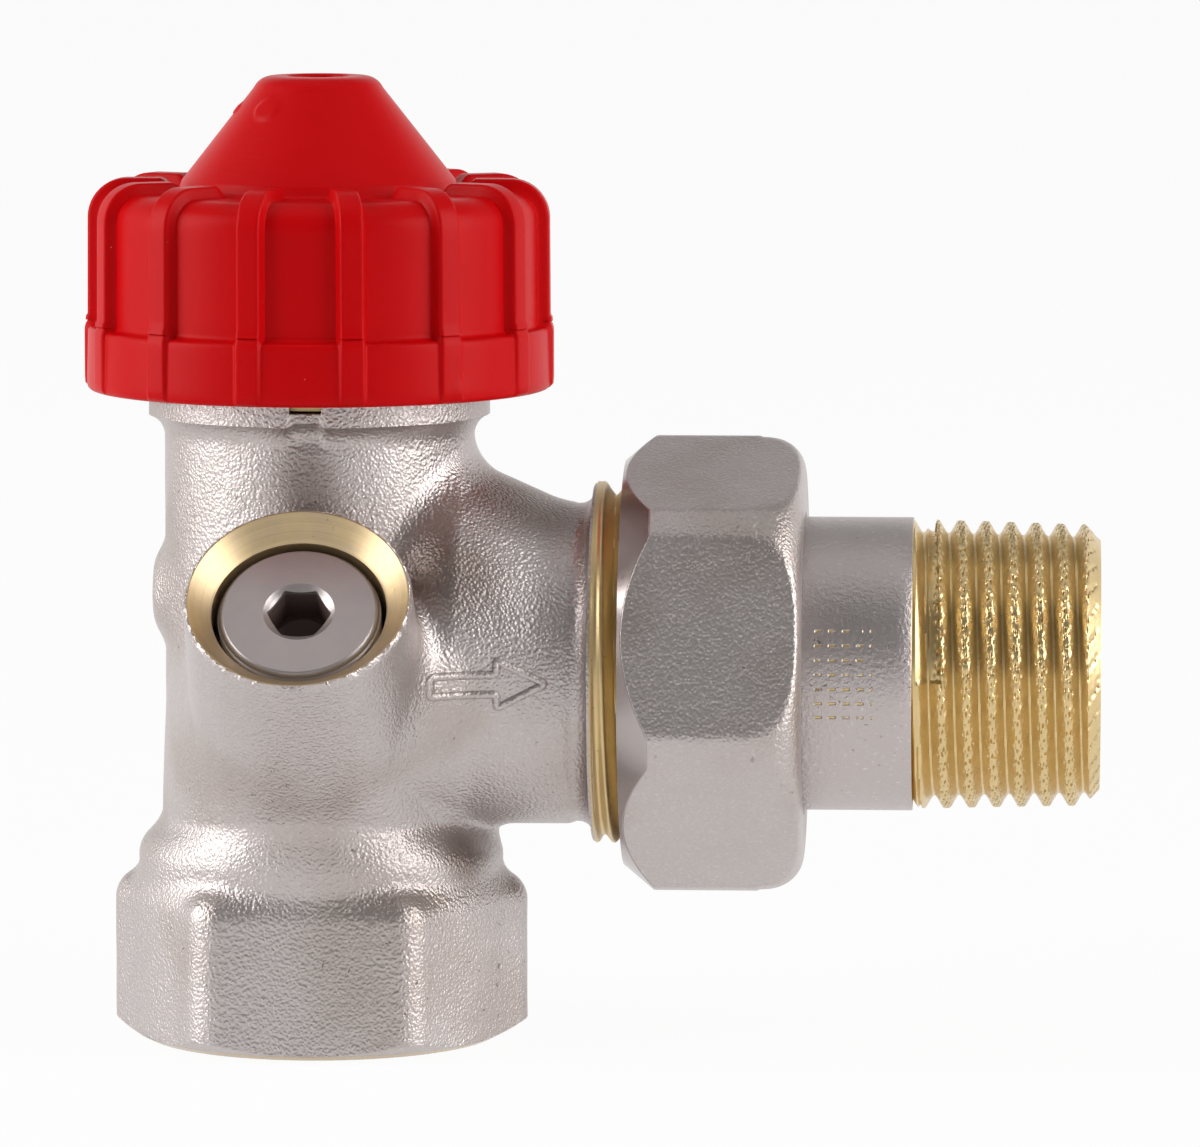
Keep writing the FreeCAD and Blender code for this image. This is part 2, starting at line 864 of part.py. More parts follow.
def nut_slip_washer(doc, d):
    """Flat washer between the nut's shoulder and the tailpiece collar."""
    body = new_body(doc, "nut_slip_washer")
    high = nut_start(d) + nut_floor(d) - d.turned_fit
    low = high - d.slip_washer_thickness
    inner = d.tail_barrel_radius + d.turned_fit
    flat_ring(body, inner, d.tail_collar_radius, low, high, **on_outlet(d))
    return body


def tail_seal_position(d):
    return tail_collar_start(d) - d.tail_nose_length / 2


def tailpiece(doc, d):
    """Tube that the nut draws in: a nose with a seal groove, a collar, a plain barrel and a taper thread."""
    body = new_body(doc, "tailpiece")
    collar = tail_collar_start(d)
    nose = collar - d.tail_nose_length
    nose_radius = d.tail_socket_radius - d.rest_gap
    seal = tail_seal_position(d)
    half = d.tail_groove_depth * 0.6
    collar_end = collar + d.tail_collar_thickness
    start = tail_barrel_end(d) + d.tail_runout
    slope = tangent(d.tail_taper)
    root = d.tail_thread_radius - d.pipe_thread_depth * 0.8
    last = tail_end(d) - d.tail_end_chamfer
    small = d.tail_thread_radius - (last - start) * slope
    tube = [
        (d.tail_bore_radius, nose),
        (nose_radius - 0.6, nose),
        (nose_radius, nose + 0.6),
        (nose_radius, seal - half),
        (nose_radius - d.tail_groove_depth, seal - half),
        (nose_radius - d.tail_groove_depth, seal + half),
        (nose_radius, seal + half),
        (nose_radius, collar),
        (d.tail_collar_radius, collar),
        (d.tail_collar_radius, collar_end),
        (d.tail_barrel_radius, collar_end),
        (d.tail_barrel_radius, tail_barrel_end(d)),
        (root, start - 0.3),
        (root, start),
        (d.tail_thread_radius, start + 0.5),
        (small, last),
        (small - d.tail_end_chamfer, tail_end(d)),
        (d.tail_bore_radius, tail_end(d)),
    ]
    turned(body, tube, "Tube", **on_outlet(d))
    middle = start + d.pipe_pitch * 0.08
    groove = male_groove(d.tail_thread_radius, d.pipe_thread_depth, d.pipe_pitch, middle)
    run = tail_end(d) - middle + d.pipe_pitch * 0.4
    # the groove keeps one root radius, and the tapered blank makes its crests lower towards the end
    thread_cut(body, groove, d.pipe_pitch, run, "TaperThread", **on_outlet(d))
    return body


def tailpiece_o_ring(doc, d):
    floor = d.tail_socket_radius - d.rest_gap - d.tail_groove_depth
    ring = seal_ring(doc, "tailpiece_o_ring", floor, d.tail_socket_radius, d.ring_gap)
    place_on_outlet(ring, d, tail_seal_position(d))
    return ring


# ---- valve insert ---------------------------------------------------------------------------------


def insert_housing(doc, d):
    """Brass insert: a barrel sealed in the body, a flange on its rim and the ring that carries the cap."""
    body = new_body(doc, "insert_housing")
    barrel = d.insert_bore_radius - d.turned_fit
    flange = d.rim_bore_radius - d.rest_gap / 2
    underside = rim_floor(d) + d.rest_gap
    groove = d.housing_groove_height
    half = d.housing_groove_depth * 0.6
    shell = [
        (d.barrel_radius, d.housing_bottom),
        (barrel - 0.4, d.housing_bottom),
        (barrel, d.housing_bottom + 0.4),
        (barrel, groove - half),
        (barrel - d.housing_groove_depth, groove - half),
        (barrel - d.housing_groove_depth, groove + half),
        (barrel, groove + half),
        (barrel, underside),
        (flange, underside),
        (flange, head_ring_base(d)),
        (d.head_thread_radius - 1.0, head_ring_base(d)),
        (d.head_thread_radius, head_ring_base(d) + 1.0),
        (d.head_thread_radius, d.head_thread_end - 0.6),
        (d.head_thread_radius - 0.8, d.head_thread_end),
        (d.barrel_radius, d.head_thread_end),
    ]
    turned(body, shell, "Shell")
    middle = head_groove_middle(d)
    thread = male_groove(d.head_thread_radius, d.head_thread_depth, d.head_pitch, middle)
    run = d.head_thread_end - middle + d.head_pitch * 0.5
    thread_cut(body, thread, d.head_pitch, run, "HeadThread")
    return body


def insert_o_ring(doc, d):
    floor = d.insert_bore_radius - d.turned_fit - d.housing_groove_depth
    where = {"base": (0, 0, d.housing_groove_height)}
    return seal_ring(doc, "insert_o_ring", floor, d.insert_bore_radius, d.ring_gap, **where)


def presetting_barrel(doc, d):
    """Turning barrel with a flow window in its skirt and a toothed crown above the housing."""
    body = new_body(doc, "presetting_barrel")
    outer = d.barrel_radius - d.turned_fit
    skirt = outer - d.barrel_skirt_wall
    guide = d.pin_radius + d.turned_fit
    half = d.barrel_groove_depth * 0.6
    seal = d.barrel_groove_height
    bore = d.gland_thread_radius + d.turned_fit
    shell = [
        (skirt, d.barrel_skirt_bottom),
        (outer, d.barrel_skirt_bottom),
        (outer, seal - half),
        (outer - d.barrel_groove_depth, seal - half),
        (outer - d.barrel_groove_depth, seal + half),
        (outer, seal + half),
        (outer, crown_base(d)),
        (d.crown_radius, crown_base(d)),
        (d.crown_radius, crown_top(d)),
        (bore, crown_top(d)),
        (bore, d.gland_start),
        (d.spring_cavity_radius, d.gland_start),
        (d.spring_cavity_radius, d.spring_floor),
        (guide, d.spring_floor),
        (guide, d.barrel_skirt_top),
        (skirt, d.barrel_skirt_top),
    ]
    turned(body, shell, "Shell")
    wide = d.barrel_window_width / 2
    window = rectangle(-wide, d.barrel_window_bottom, wide, d.barrel_window_top)
    where = {"plane": "YZ_Plane", "move": (0, 0, d.barrel_radius + 1)}
    straight(body, [window], d.barrel_radius + 1, "FlowWindow", cut=True, **where)
    tooth = d.crown_tooth_width / 2
    gap = rectangle(d.crown_radius - d.crown_tooth_depth, -tooth, d.crown_radius + 1, tooth)
    where = {"plane": "XY_Plane", "move": (0, 0, crown_top(d) + 0.5)}
    notch = straight(body, [gap], d.crown_thickness + 1, "CrownGap", cut=True, **where)
    around(body, notch, d.crown_teeth, "CrownGaps")
    return body


def barrel_o_ring(doc, d):
    floor = d.barrel_radius - d.turned_fit - d.barrel_groove_depth
    where = {"base": (0, 0, d.barrel_groove_height)}
    return seal_ring(doc, "barrel_o_ring", floor, d.barrel_radius, d.ring_gap, **where)


def gland_nut(doc, d):
    """Hexagon gland that closes the spring cavity and holds the seal round the pin."""
    body = new_body(doc, "gland_nut")
    head = crown_top(d) + d.turned_fit
    straight(
        body,
        [hexagon(d.gland_across_flats)],
        d.gland_head_height,
        "Head",
        plane="XY_Plane",
        move=(0, 0, head),
    )
    shank = [
        (0, d.gland_start + d.turned_fit),
        (d.gland_thread_radius - 0.4, d.gland_start + d.turned_fit),
        (d.gland_thread_radius, d.gland_start + d.turned_fit + 0.4),
        (d.gland_thread_radius, head),
        (0, head),
    ]
    turned(body, shank, "Shank")
    hole = d.pin_radius + d.turned_fit
    half = d.gland_groove_depth * 0.6
    top = head + d.gland_head_height
    bore = [
        (0, d.gland_start - 1),
        (hole, d.gland_start - 1),
        (hole, d.gland_seal_height - half),
        (hole + d.gland_groove_depth, d.gland_seal_height - half),
        (hole + d.gland_groove_depth, d.gland_seal_height + half),
        (hole, d.gland_seal_height + half),
        (hole, top - 0.4),
        (hole + 1.4, top + 1),
        (0, top + 1),
    ]
    turned(body, bore, "PinBore", cut=True)
    return body


def gland_o_ring(doc, d):
    outer = d.pin_radius + d.turned_fit + d.gland_groove_depth
    where = {"base": (0, 0, d.gland_seal_height)}
    return seal_ring(doc, "gland_o_ring", d.pin_radius, outer, d.ring_gap, **where)


def clip_height(d):
    return d.spring_plate_height + d.spring_plate_thickness + d.turned_fit


def operating_pin(doc, d):
    """Straight pin from the valve disc to the rounded end that the cap presses on."""
    body = new_body(doc, "operating_pin")
    neck = d.pin_radius - d.clip_groove_depth
    low = clip_height(d) - d.turned_fit
    high = low + d.clip_thickness + d.turned_fit * 2
    pin = [
        (0, d.pin_bottom),
        (d.pin_radius - 0.3, d.pin_bottom),
        (d.pin_radius, d.pin_bottom + 0.3),
        (d.pin_radius, low),
        (neck, low),
        (neck, high),
        (d.pin_radius, high),
        (d.pin_radius, d.pin_top - 0.7),
        Bend(d.pin_radius * 0.7, 1),
        (d.pin_radius * 0.4, d.pin_top),
        (0, d.pin_top),
    ]
    turned(body, pin, "Pin")
    return body


def spring_plate(doc, d):
    """Washer on the pin that the return spring pushes up against the clip."""
    body = new_body(doc, "spring_plate")
    inner = d.pin_radius + d.turned_fit
    low = d.spring_plate_height
    flat_ring(body, inner, d.spring_plate_radius, low, low + d.spring_plate_thickness)
    return body


def pin_clip(doc, d):
    """Open clip in the pin's groove."""
    body = new_body(doc, "pin_clip")
    inner = d.pin_radius - d.clip_groove_depth + d.turned_fit
    low = clip_height(d)
    high = low + d.clip_thickness
    flat_ring(body, inner, d.clip_radius, low, high)
    gap = rectangle(0, -inner * 0.9, d.clip_radius + 1, inner * 0.9)
    where = {"plane": "XY_Plane", "move": (0, 0, high + 0.5)}
    straight(body, [gap], d.clip_thickness + 1, "ClipMouth", cut=True, **where)
    return body


def return_spring(doc, d):
    """Coil spring between the barrel's floor and the spring plate."""
    body = new_body(doc, "return_spring")
    low = d.spring_floor + d.spring_wire_radius + d.turned_fit
    high = d.spring_plate_height - d.spring_wire_radius - d.turned_fit
    section = new_sketch(body, "WireSection")
    draw_circle(section, (d.spring_radius, low), d.spring_wire_radius)
    coil = body.newObject("PartDesign::AdditiveHelix", "Coil")
    coil.Profile = (section, [""])
    coil.ReferenceAxis = (section, ["V_Axis"])
    coil.Mode = 0
    bind(coil, Pitch=(high - low) / d.spring_turns, Height=high - low)
    return body


def disc_carrier(doc, d):
    """Cup on the pin that backs the valve disc and rims its edge."""
    body = new_body(doc, "disc_carrier")
    face = open_disc_face(d) + d.disc_thickness + d.turned_fit
    hole = d.pin_radius + d.turned_fit
    edge = d.disc_radius + d.turned_fit
    cup = [
        (hole, face),
        (edge, face),
        (edge, face - d.carrier_rim),
        (d.carrier_radius, face - d.carrier_rim),
        (d.carrier_radius, face + d.carrier_thickness - 0.3),
        (d.carrier_radius - 0.3, face + d.carrier_thickness),
        (hole + 1.2, face + d.carrier_thickness),
        (hole + 1.2, face + d.carrier_thickness * 2),
        (hole, face + d.carrier_thickness * 2),
    ]
    turned(body, cup, "Cup")
    return body


def disc_seal(doc, d):
    """Rubber disc that closes on the seat."""
    body = new_body(doc, "disc_seal")
    hole = d.pin_radius + d.turned_fit
    low = open_disc_face(d)
    flat_ring(body, hole, d.disc_radius, low, low + d.disc_thickness)
    return body


def disc_nut(doc, d):
    """Small hexagon nut that clamps the disc on the end of the pin."""
    body = new_body(doc, "disc_nut")
    low = open_disc_face(d) - d.disc_nut_thickness - d.turned_fit
    where = {"plane": "XY_Plane", "move": (0, 0, low)}
    flats = [hexagon(d.disc_nut_across_flats)]
    straight(body, flats, d.disc_nut_thickness, "Hexagon", **where)
    hole = d.pin_radius + d.turned_fit
    top = low + d.disc_nut_thickness
    turned(body, rectangle(0, low - 1, hole, top + 1), "Hole", cut=True)
    return body


# ---- cap ------------------------------------------------------------------------------------------


def protective_cap(doc, d):
    """Ribbed hand cap: a lipped skirt, a rounded deck, a hollow cone and an inside thread."""
    body = new_body(doc, "protective_cap")
    lip_top = d.cap_base + d.cap_lip_height
    outside = [
        (0, d.cap_base),
        (d.cap_lip_radius - d.cap_lip_bevel, d.cap_base),
        (d.cap_lip_radius, d.cap_base + d.cap_lip_bevel * 2),
        (d.cap_lip_radius, lip_top),
        (d.cap_skirt_radius, lip_top + 0.1),
        (d.cap_skirt_radius, d.cap_skirt_top - 0.5),
        (d.cap_wall_radius, d.cap_skirt_top),
        (d.cap_wall_radius, d.cap_deck - d.cap_deck_round),
        Bend(d.cap_deck_round, 1),
        (d.cap_wall_radius - d.cap_deck_round, d.cap_deck),
        (d.cap_cone_base_radius, d.cap_deck),
        (d.cap_cone_top_radius, d.cap_cone_top),
        Bend(d.cap_top - d.cap_cone_top + 0.4, 1),
        (d.cap_top_radius, d.cap_top),
        (0, d.cap_top),
    ]
    turned(body, outside, "Outside")
    rib_low = d.cap_skirt_top - 1.0
    rib_out = d.cap_wall_radius + d.cap_rib_height
    rib_top = d.cap_deck + d.cap_rib_height
    rib_round = d.cap_deck_round + d.cap_rib_height * 0.5
    deep = d.cap_wall_radius - d.cap_shell * 0.3
    rib_profile = [
        (deep, rib_low),
        (rib_out, rib_low),
        (rib_out, rib_top - rib_round),
        Bend(rib_round, 1),
        (rib_out - rib_round, rib_top),
        (d.cap_cone_base_radius - 1.0, rib_top),
        (d.cap_cone_base_radius - 1.0, d.cap_deck - d.cap_shell * 0.3),
        (deep - d.cap_deck_round, d.cap_deck - d.cap_shell * 0.3),
        (deep, d.cap_deck - d.cap_deck_round),
    ]
    half = d.cap_rib_width / 2
    rib = straight(body, [rib_profile], d.cap_rib_width, "Rib", move=(0, 0, -half))
    around(body, rib, d.cap_rib_count, "Ribs")
    crest = d.head_thread_radius - d.head_thread_depth + d.cap_thread_clearance
    root = d.head_thread_radius + d.cap_thread_clearance * 1.5
    inside = [
        (0, d.cap_base - 1),
        (root + 1, d.cap_base - 1),
        (root + 0.2, d.cap_base + 0.3),
        (crest, d.cap_base + 0.3 + root - crest),
        (crest, d.head_thread_end + 0.4),
        (root, d.head_thread_end + 0.8),
        (root, d.cap_relief_top),
        (root - 1.2, d.cap_ceiling),
        (d.cap_dome_radius, d.cap_ceiling),
        (d.cap_dome_top_radius, d.cap_dome_top),
        (0, d.cap_dome_top),
    ]
    turned(body, inside, "Inside", cut=True)
    hole = rectangle(0, d.cap_top - d.cap_hole_depth, d.cap_hole_radius, d.cap_top + 1)
    turned(body, hole, "TopHole", cut=True)
    # the female groove takes the male crest, half a pitch on and two turns lower
    middle = head_groove_middle(d) - d.head_pitch * 1.5
    groove = female_groove(crest, d.head_thread_depth, d.head_pitch, middle)
    run = d.head_thread_end + 0.8 - middle + d.head_pitch * 0.1
    thread_cut(body, groove, d.head_pitch, run, "CapThread")
    return body


def cap_thrust_pad(doc, d):
    """Hard disc under the cap's cone that bears on the end of the pin."""
    body = new_body(doc, "cap_thrust_pad")
    low = d.pin_top + d.rest_gap
    high = d.cap_dome_top - d.turned_fit
    pad = [
        (0, low),
        (d.thrust_pad_radius - 0.3, low),
        (d.thrust_pad_radius, low + 0.3),
        (d.thrust_pad_radius, high),
        (0, high),
    ]
    turned(body, pad, "Pad")
    return body


def dust_ring(doc, d):
    """Felt ring on top of the housing, round the crown."""
    body = new_body(doc, "dust_ring")
    inner = d.crown_radius + d.dust_ring_inner_gap
    low = d.head_thread_end + d.turned_fit
    flat_ring(body, inner, inner + d.dust_ring_width, low, low + d.dust_ring_thickness)
    return body


# ---- regulating port -----------------------------------------------------------------------------


def regulating_spindle(doc, d):
    """Screwed spindle: a face with a hexagon socket, a fine thread, a sealed neck and a throttling shank."""
    body = new_body(doc, "regulating_spindle")
    neck = d.port_seal_radius - d.turned_fit
    floor = neck - d.spindle_groove_depth
    seal = spindle_seal_position(d)
    half = d.spindle_groove_depth * 0.6
    wide = half + d.spindle_groove_depth * 0.75
    # the thread runs out into a relief, and the head stays clear of the port's thread at full travel
    relief = d.spindle_thread_radius - d.spindle_thread_depth - d.turned_fit
    head_floor = d.port_reach - d.spindle_head_thickness
    spindle = [
        (0, d.shank_tip),
        (d.shank_radius - 0.6, d.shank_tip),
        (d.shank_radius, d.shank_tip + 0.9),
        (d.shank_radius, spindle_seal_bottom(d) - 0.5),
        (neck, spindle_seal_bottom(d)),
        (neck, seal - half),
        (floor, seal - half),
        (floor, seal + wide),
        (neck, seal + wide),
        (neck, spindle_thread_bottom(d)),
        (d.spindle_thread_radius, spindle_thread_bottom(d)),
        (d.spindle_thread_radius, spindle_thread_top(d)),
        (relief, spindle_thread_top(d) + 0.1),
        (relief, head_floor - 0.1),
        (d.spindle_head_radius, head_floor),
        (d.spindle_head_radius, d.port_reach - 0.12),
        (d.spindle_head_radius - 0.12, d.port_reach),
        (0, d.port_reach),
    ]
    turned(body, spindle, "Spindle")
    socket_floor = d.port_reach - d.socket_depth
    entry = [
        (0, d.port_reach - 0.35),
        (d.socket_across_flats / 2, d.port_reach - 0.35),
        (d.socket_mouth_radius, d.port_reach),
        (0, d.port_reach),
    ]
    turned(body, entry, "SocketEntry", cut=True)
    flats = [hexagon(d.socket_across_flats)]
    where = {"plane": "XY_Plane", "move": (0, 0, d.port_reach)}
    straight(body, flats, d.socket_depth, "HexagonSocket", cut=True, **where)
    drill = [
        (0, socket_floor - 0.9),
        (d.socket_across_flats * 0.45, socket_floor),
        (d.socket_across_flats * 0.45, socket_floor + 0.1),
        (0, socket_floor + 0.1),
    ]
    turned(body, drill, "DrillPoint", cut=True)
    middle = spindle_groove_middle(d)
    depth = d.spindle_thread_depth
    groove = male_groove(d.spindle_thread_radius, depth, d.spindle_pitch, middle)
    run = spindle_thread_top(d) - middle + d.spindle_pitch * 0.3
    thread_cut(body, groove, d.spindle_pitch, run, "FineThread")
    place_on_port(body, d)
    return body


def spindle_o_ring(doc, d):
    floor = d.port_seal_radius - d.turned_fit - d.spindle_groove_depth
    ring = seal_ring(doc, "spindle_o_ring", floor, d.port_seal_radius, d.ring_gap)
    place_on_port(ring, d, spindle_seal_position(d))
    return ring


def spindle_backup_ring(doc, d):
    """Stiff ring above the spindle's seal that stops it from being squeezed into the thread."""
    body = new_body(doc, "spindle_backup_ring")
    floor = d.port_seal_radius - d.turned_fit - d.spindle_groove_depth
    low = spindle_seal_position(d) + d.spindle_groove_depth * 0.6
    high = low + d.spindle_groove_depth * 0.7
    inner = floor + d.turned_fit
    flat_ring(body, inner, d.port_seal_radius - d.turned_fit, low, high)
    place_on_port(body, d)
    return body


PIECES = (
    valve_body,
    union_nut,
    nut_slip_washer,
    tailpiece,
    tailpiece_o_ring,
    insert_housing,
    insert_o_ring,
    presetting_barrel,
    barrel_o_ring,
    gland_nut,
    gland_o_ring,
    operating_pin,
    spring_plate,
    pin_clip,
    return_spring,
    disc_carrier,
    disc_seal,
    disc_nut,
    protective_cap,
    cap_thrust_pad,
    dust_ring,
    regulating_spindle,
    spindle_o_ring,
    spindle_backup_ring,
)


def main():
    doc = FreeCAD.newDocument("flow_control_valve")
    write_sheet(doc)
    d = Sizes(SIZES)
    pieces = []
    for make in PIECES:
        pieces.append(make(doc, d))
        doc.recompute()
    for feature in doc.Objects:
        bad = [word for word in ("Invalid", "Error") if word in feature.State]
        if bad:
            raise RuntimeError(f"{feature.Label} is {bad[0]}")
    os.makedirs("parts", exist_ok=True)
    for piece in pieces:
        shape = piece.Shape
        if shape.isNull() or not shape.isValid() or len(shape.Solids) != 1:
            raise RuntimeError(f"{piece.Label} is not one valid solid")
        shape.exportStep(f"parts/{piece.Label}.step")
        print(piece.Label, "faces", len(shape.Faces), "volume", round(shape.Volume, 1))


main()
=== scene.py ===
"""Looks of the angle flow control valve, laid out as a Blender add-on and run as a script.

Every piece is worked out in millimetres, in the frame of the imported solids: +Z up the valve axis from the
mouth of the inlet, +X out along the outlet, and the regulating port leaning forward and up towards -Y.
"""

import json
import math

import bmesh
import bpy
import numpy as np
from bpy.props import FloatProperty, FloatVectorProperty, IntProperty, PointerProperty
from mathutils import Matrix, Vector


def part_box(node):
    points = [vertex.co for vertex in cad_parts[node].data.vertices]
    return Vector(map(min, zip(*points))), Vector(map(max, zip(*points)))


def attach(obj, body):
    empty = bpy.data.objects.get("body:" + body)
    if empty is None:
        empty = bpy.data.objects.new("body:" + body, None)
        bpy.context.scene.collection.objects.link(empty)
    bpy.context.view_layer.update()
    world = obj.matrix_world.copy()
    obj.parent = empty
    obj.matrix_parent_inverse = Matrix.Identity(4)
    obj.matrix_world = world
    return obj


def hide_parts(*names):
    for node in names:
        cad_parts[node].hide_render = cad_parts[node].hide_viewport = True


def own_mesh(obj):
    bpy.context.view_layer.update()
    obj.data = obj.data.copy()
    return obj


bl_info = {
    "name": "Angle Flow Control Valve",
    "version": (1, 0, 0),
    "blender": (4, 5, 0),
    "location": "View3D > Sidebar > Valve",
    "description": "Builds the forged body, cap, union and finishes of an angle flow control valve",
    "category": "Object",
}

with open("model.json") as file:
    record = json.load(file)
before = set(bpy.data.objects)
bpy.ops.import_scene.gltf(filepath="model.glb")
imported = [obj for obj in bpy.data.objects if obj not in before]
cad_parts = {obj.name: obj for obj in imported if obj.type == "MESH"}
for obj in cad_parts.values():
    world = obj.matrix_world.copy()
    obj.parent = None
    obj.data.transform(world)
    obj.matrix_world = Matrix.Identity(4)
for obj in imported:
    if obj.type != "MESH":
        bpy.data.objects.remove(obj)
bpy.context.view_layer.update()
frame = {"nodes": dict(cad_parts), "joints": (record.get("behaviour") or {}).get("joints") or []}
MM = 0.001
FULL_TURN = 2 * math.pi
OUTLET_HEIGHT = 27.5  # of the outlet's axis
PORT_HEIGHT = 15.2  # where the port's axis meets the valve's
SLANT = math.sqrt(0.5)  # sine and cosine of the port's 45 degrees
PITCH = 1.814  # of the threads on union, tailpiece and inlet
COLLAR_TOP = 49.0
PORT_FACE = 25.46  # of the spindle's outer face, along the port


# Surfaces

MERGE_WITHIN = 2e-7
SLIVER = 1e-8


def finish_mesh(name, vertices, faces, smooth_angle):
    """An object of vertices in millimetres, with seams and poles merged and faces turned outwards."""
    mesh = bpy.data.meshes.new(name)
    mesh.from_pydata((np.asarray(vertices) * MM).tolist(), [], np.asarray(faces).tolist())
    work = bmesh.new()
    work.from_mesh(mesh)
    bmesh.ops.remove_doubles(work, verts=work.verts, dist=MERGE_WITHIN)
    bmesh.ops.dissolve_degenerate(work, edges=work.edges, dist=SLIVER)
    if work.calc_volume(signed=True) < 0:
        bmesh.ops.reverse_faces(work, faces=work.faces)
    work.to_mesh(mesh)
    work.free()
    thing = bpy.data.objects.new(name, mesh)
    bpy.context.scene.collection.objects.link(thing)
    mesh.shade_smooth()
    mesh.set_sharp_from_angle(angle=math.radians(smooth_angle))
    return thing


def grid_faces(rows, columns, wrap_rows=True, wrap_columns=False):
    """Quads between neighbours on a grid of rows by columns, joined across its ends where it wraps."""
    index = np.arange(rows * columns).reshape(rows, columns)
    if wrap_rows:
        index = np.vstack([index, index[:1]])
    if wrap_columns:
        index = np.hstack([index, index[:, :1]])
    quads = [index[:-1, :-1], index[1:, :-1], index[1:, 1:], index[:-1, 1:]]
    return np.stack(quads, -1).reshape(-1, 4)


def arc(centre, radius, start, end, steps):
    """Points on a circle arc in a profile plane, between two angles in degrees."""
    angle = np.radians(np.linspace(start, end, steps))
    return [(centre[0] + radius * c, centre[1] + radius * s) for c, s in zip(np.cos(angle), np.sin(angle))]


def along(points, step):
    """A polyline's points with more points between them, no further apart than the step."""
    points = np.asarray(points, float)
    out = [points[:1]]
    for a, b in zip(points[:-1], points[1:]):
        count = max(1, int(np.ceil(np.hypot(*(b - a)) / step)))
        out.append(a + (b - a) * (np.arange(1, count + 1) / count)[:, None])
    return np.vstack(out)


def on_axis(radius, angle, height, axis):
    """Points at a radius, angle and height about the valve, outlet or port axis."""
    c, s = radius * np.cos(angle), radius * np.sin(angle)
    height = height + 0 * c
    if axis == "valve":
        return np.stack([c, s, height], -1)
    if axis == "outlet":
        return np.stack([height, -c, OUTLET_HEIGHT + s], -1)
    return np.stack([c, SLANT * (s - height), PORT_HEIGHT + SLANT * (s + height)], -1)


def around(sides):
    """A full turn in equal steps, one for each row of a grid."""
    return np.linspace(0, FULL_TURN, sides, endpoint=False)[:, None]


def sweep(name, parts, angle, axis, smooth_angle, closed=True):
    """A section swept round an axis. Its parts are laid end to end, and each gives radii and heights, either
    the same for all angles or a row for each."""

    def whole(which):
        shapes = [(part[which], (len(angle), np.shape(part[which])[-1])) for part in parts]
        return np.hstack([np.broadcast_to(values, shape) for values, shape in shapes])

    radius = whole(0)
    points = on_axis(radius, angle, whole(1), axis)
    faces = grid_faces(*radius.shape, wrap_columns=closed)
    return finish_mesh(name, points.reshape(-1, 3), faces, smooth_angle)


def smoothstep(low, high, value):
    """0 at low, 1 at high, and a cubic that is level at both ends between them."""
    t = np.clip((value - low) / (high - low), 0, 1)
    return t * t * (3 - 2 * t)


# Signed distances

COS_30 = 0.8660254
TAN_30 = 0.57735027
PROBE = 0.01  # half the width over which a slope is measured
LEAST_SLOPE = 0.2
HOLD = 0.05  # share of the pull towards the middle of a cell's points
REACH = 0.8  # how far a vertex may go from that middle, in cells


def join(a, b, fillet):
    """Union of two distances with a round fillet: past the corner circle the nearer surface wins."""
    u = np.maximum(fillet - a, 0)
    v = np.maximum(fillet - b, 0)
    return np.maximum(fillet, np.minimum(a, b)) - np.hypot(u, v)


def meet(a, b, rounding):
    """Intersection of two distances with its outer edge rounded by a circle."""
    return -join(-a, -b, rounding)


def hexagon_distance(x, y, inradius, corner):
    """Distance to a hexagon with flats square to y, its corners rounded by a circle."""
    r = inradius - corner
    px, py = np.abs(x), np.abs(y)
    fold = 2 * np.minimum(-COS_30 * px + 0.5 * py, 0)
    px = px + COS_30 * fold
    py = py - 0.5 * fold
    qx = px - np.clip(px, -TAN_30 * r, TAN_30 * r)
    qy = py - r
    return np.hypot(qx, qy) * np.sign(qy) - corner


def slope_of(field, p):
    """Gradient of a distance at points, from differences a hundredth of a millimetre to both sides."""
    slope = np.empty_like(p)
    for k in range(3):
        shift = np.zeros(3)
        shift[k] = PROBE
        ahead, behind = p + shift, p - shift
        slope[:, k] = (field(*ahead.T) - field(*behind.T)) / (2 * PROBE)
    return slope


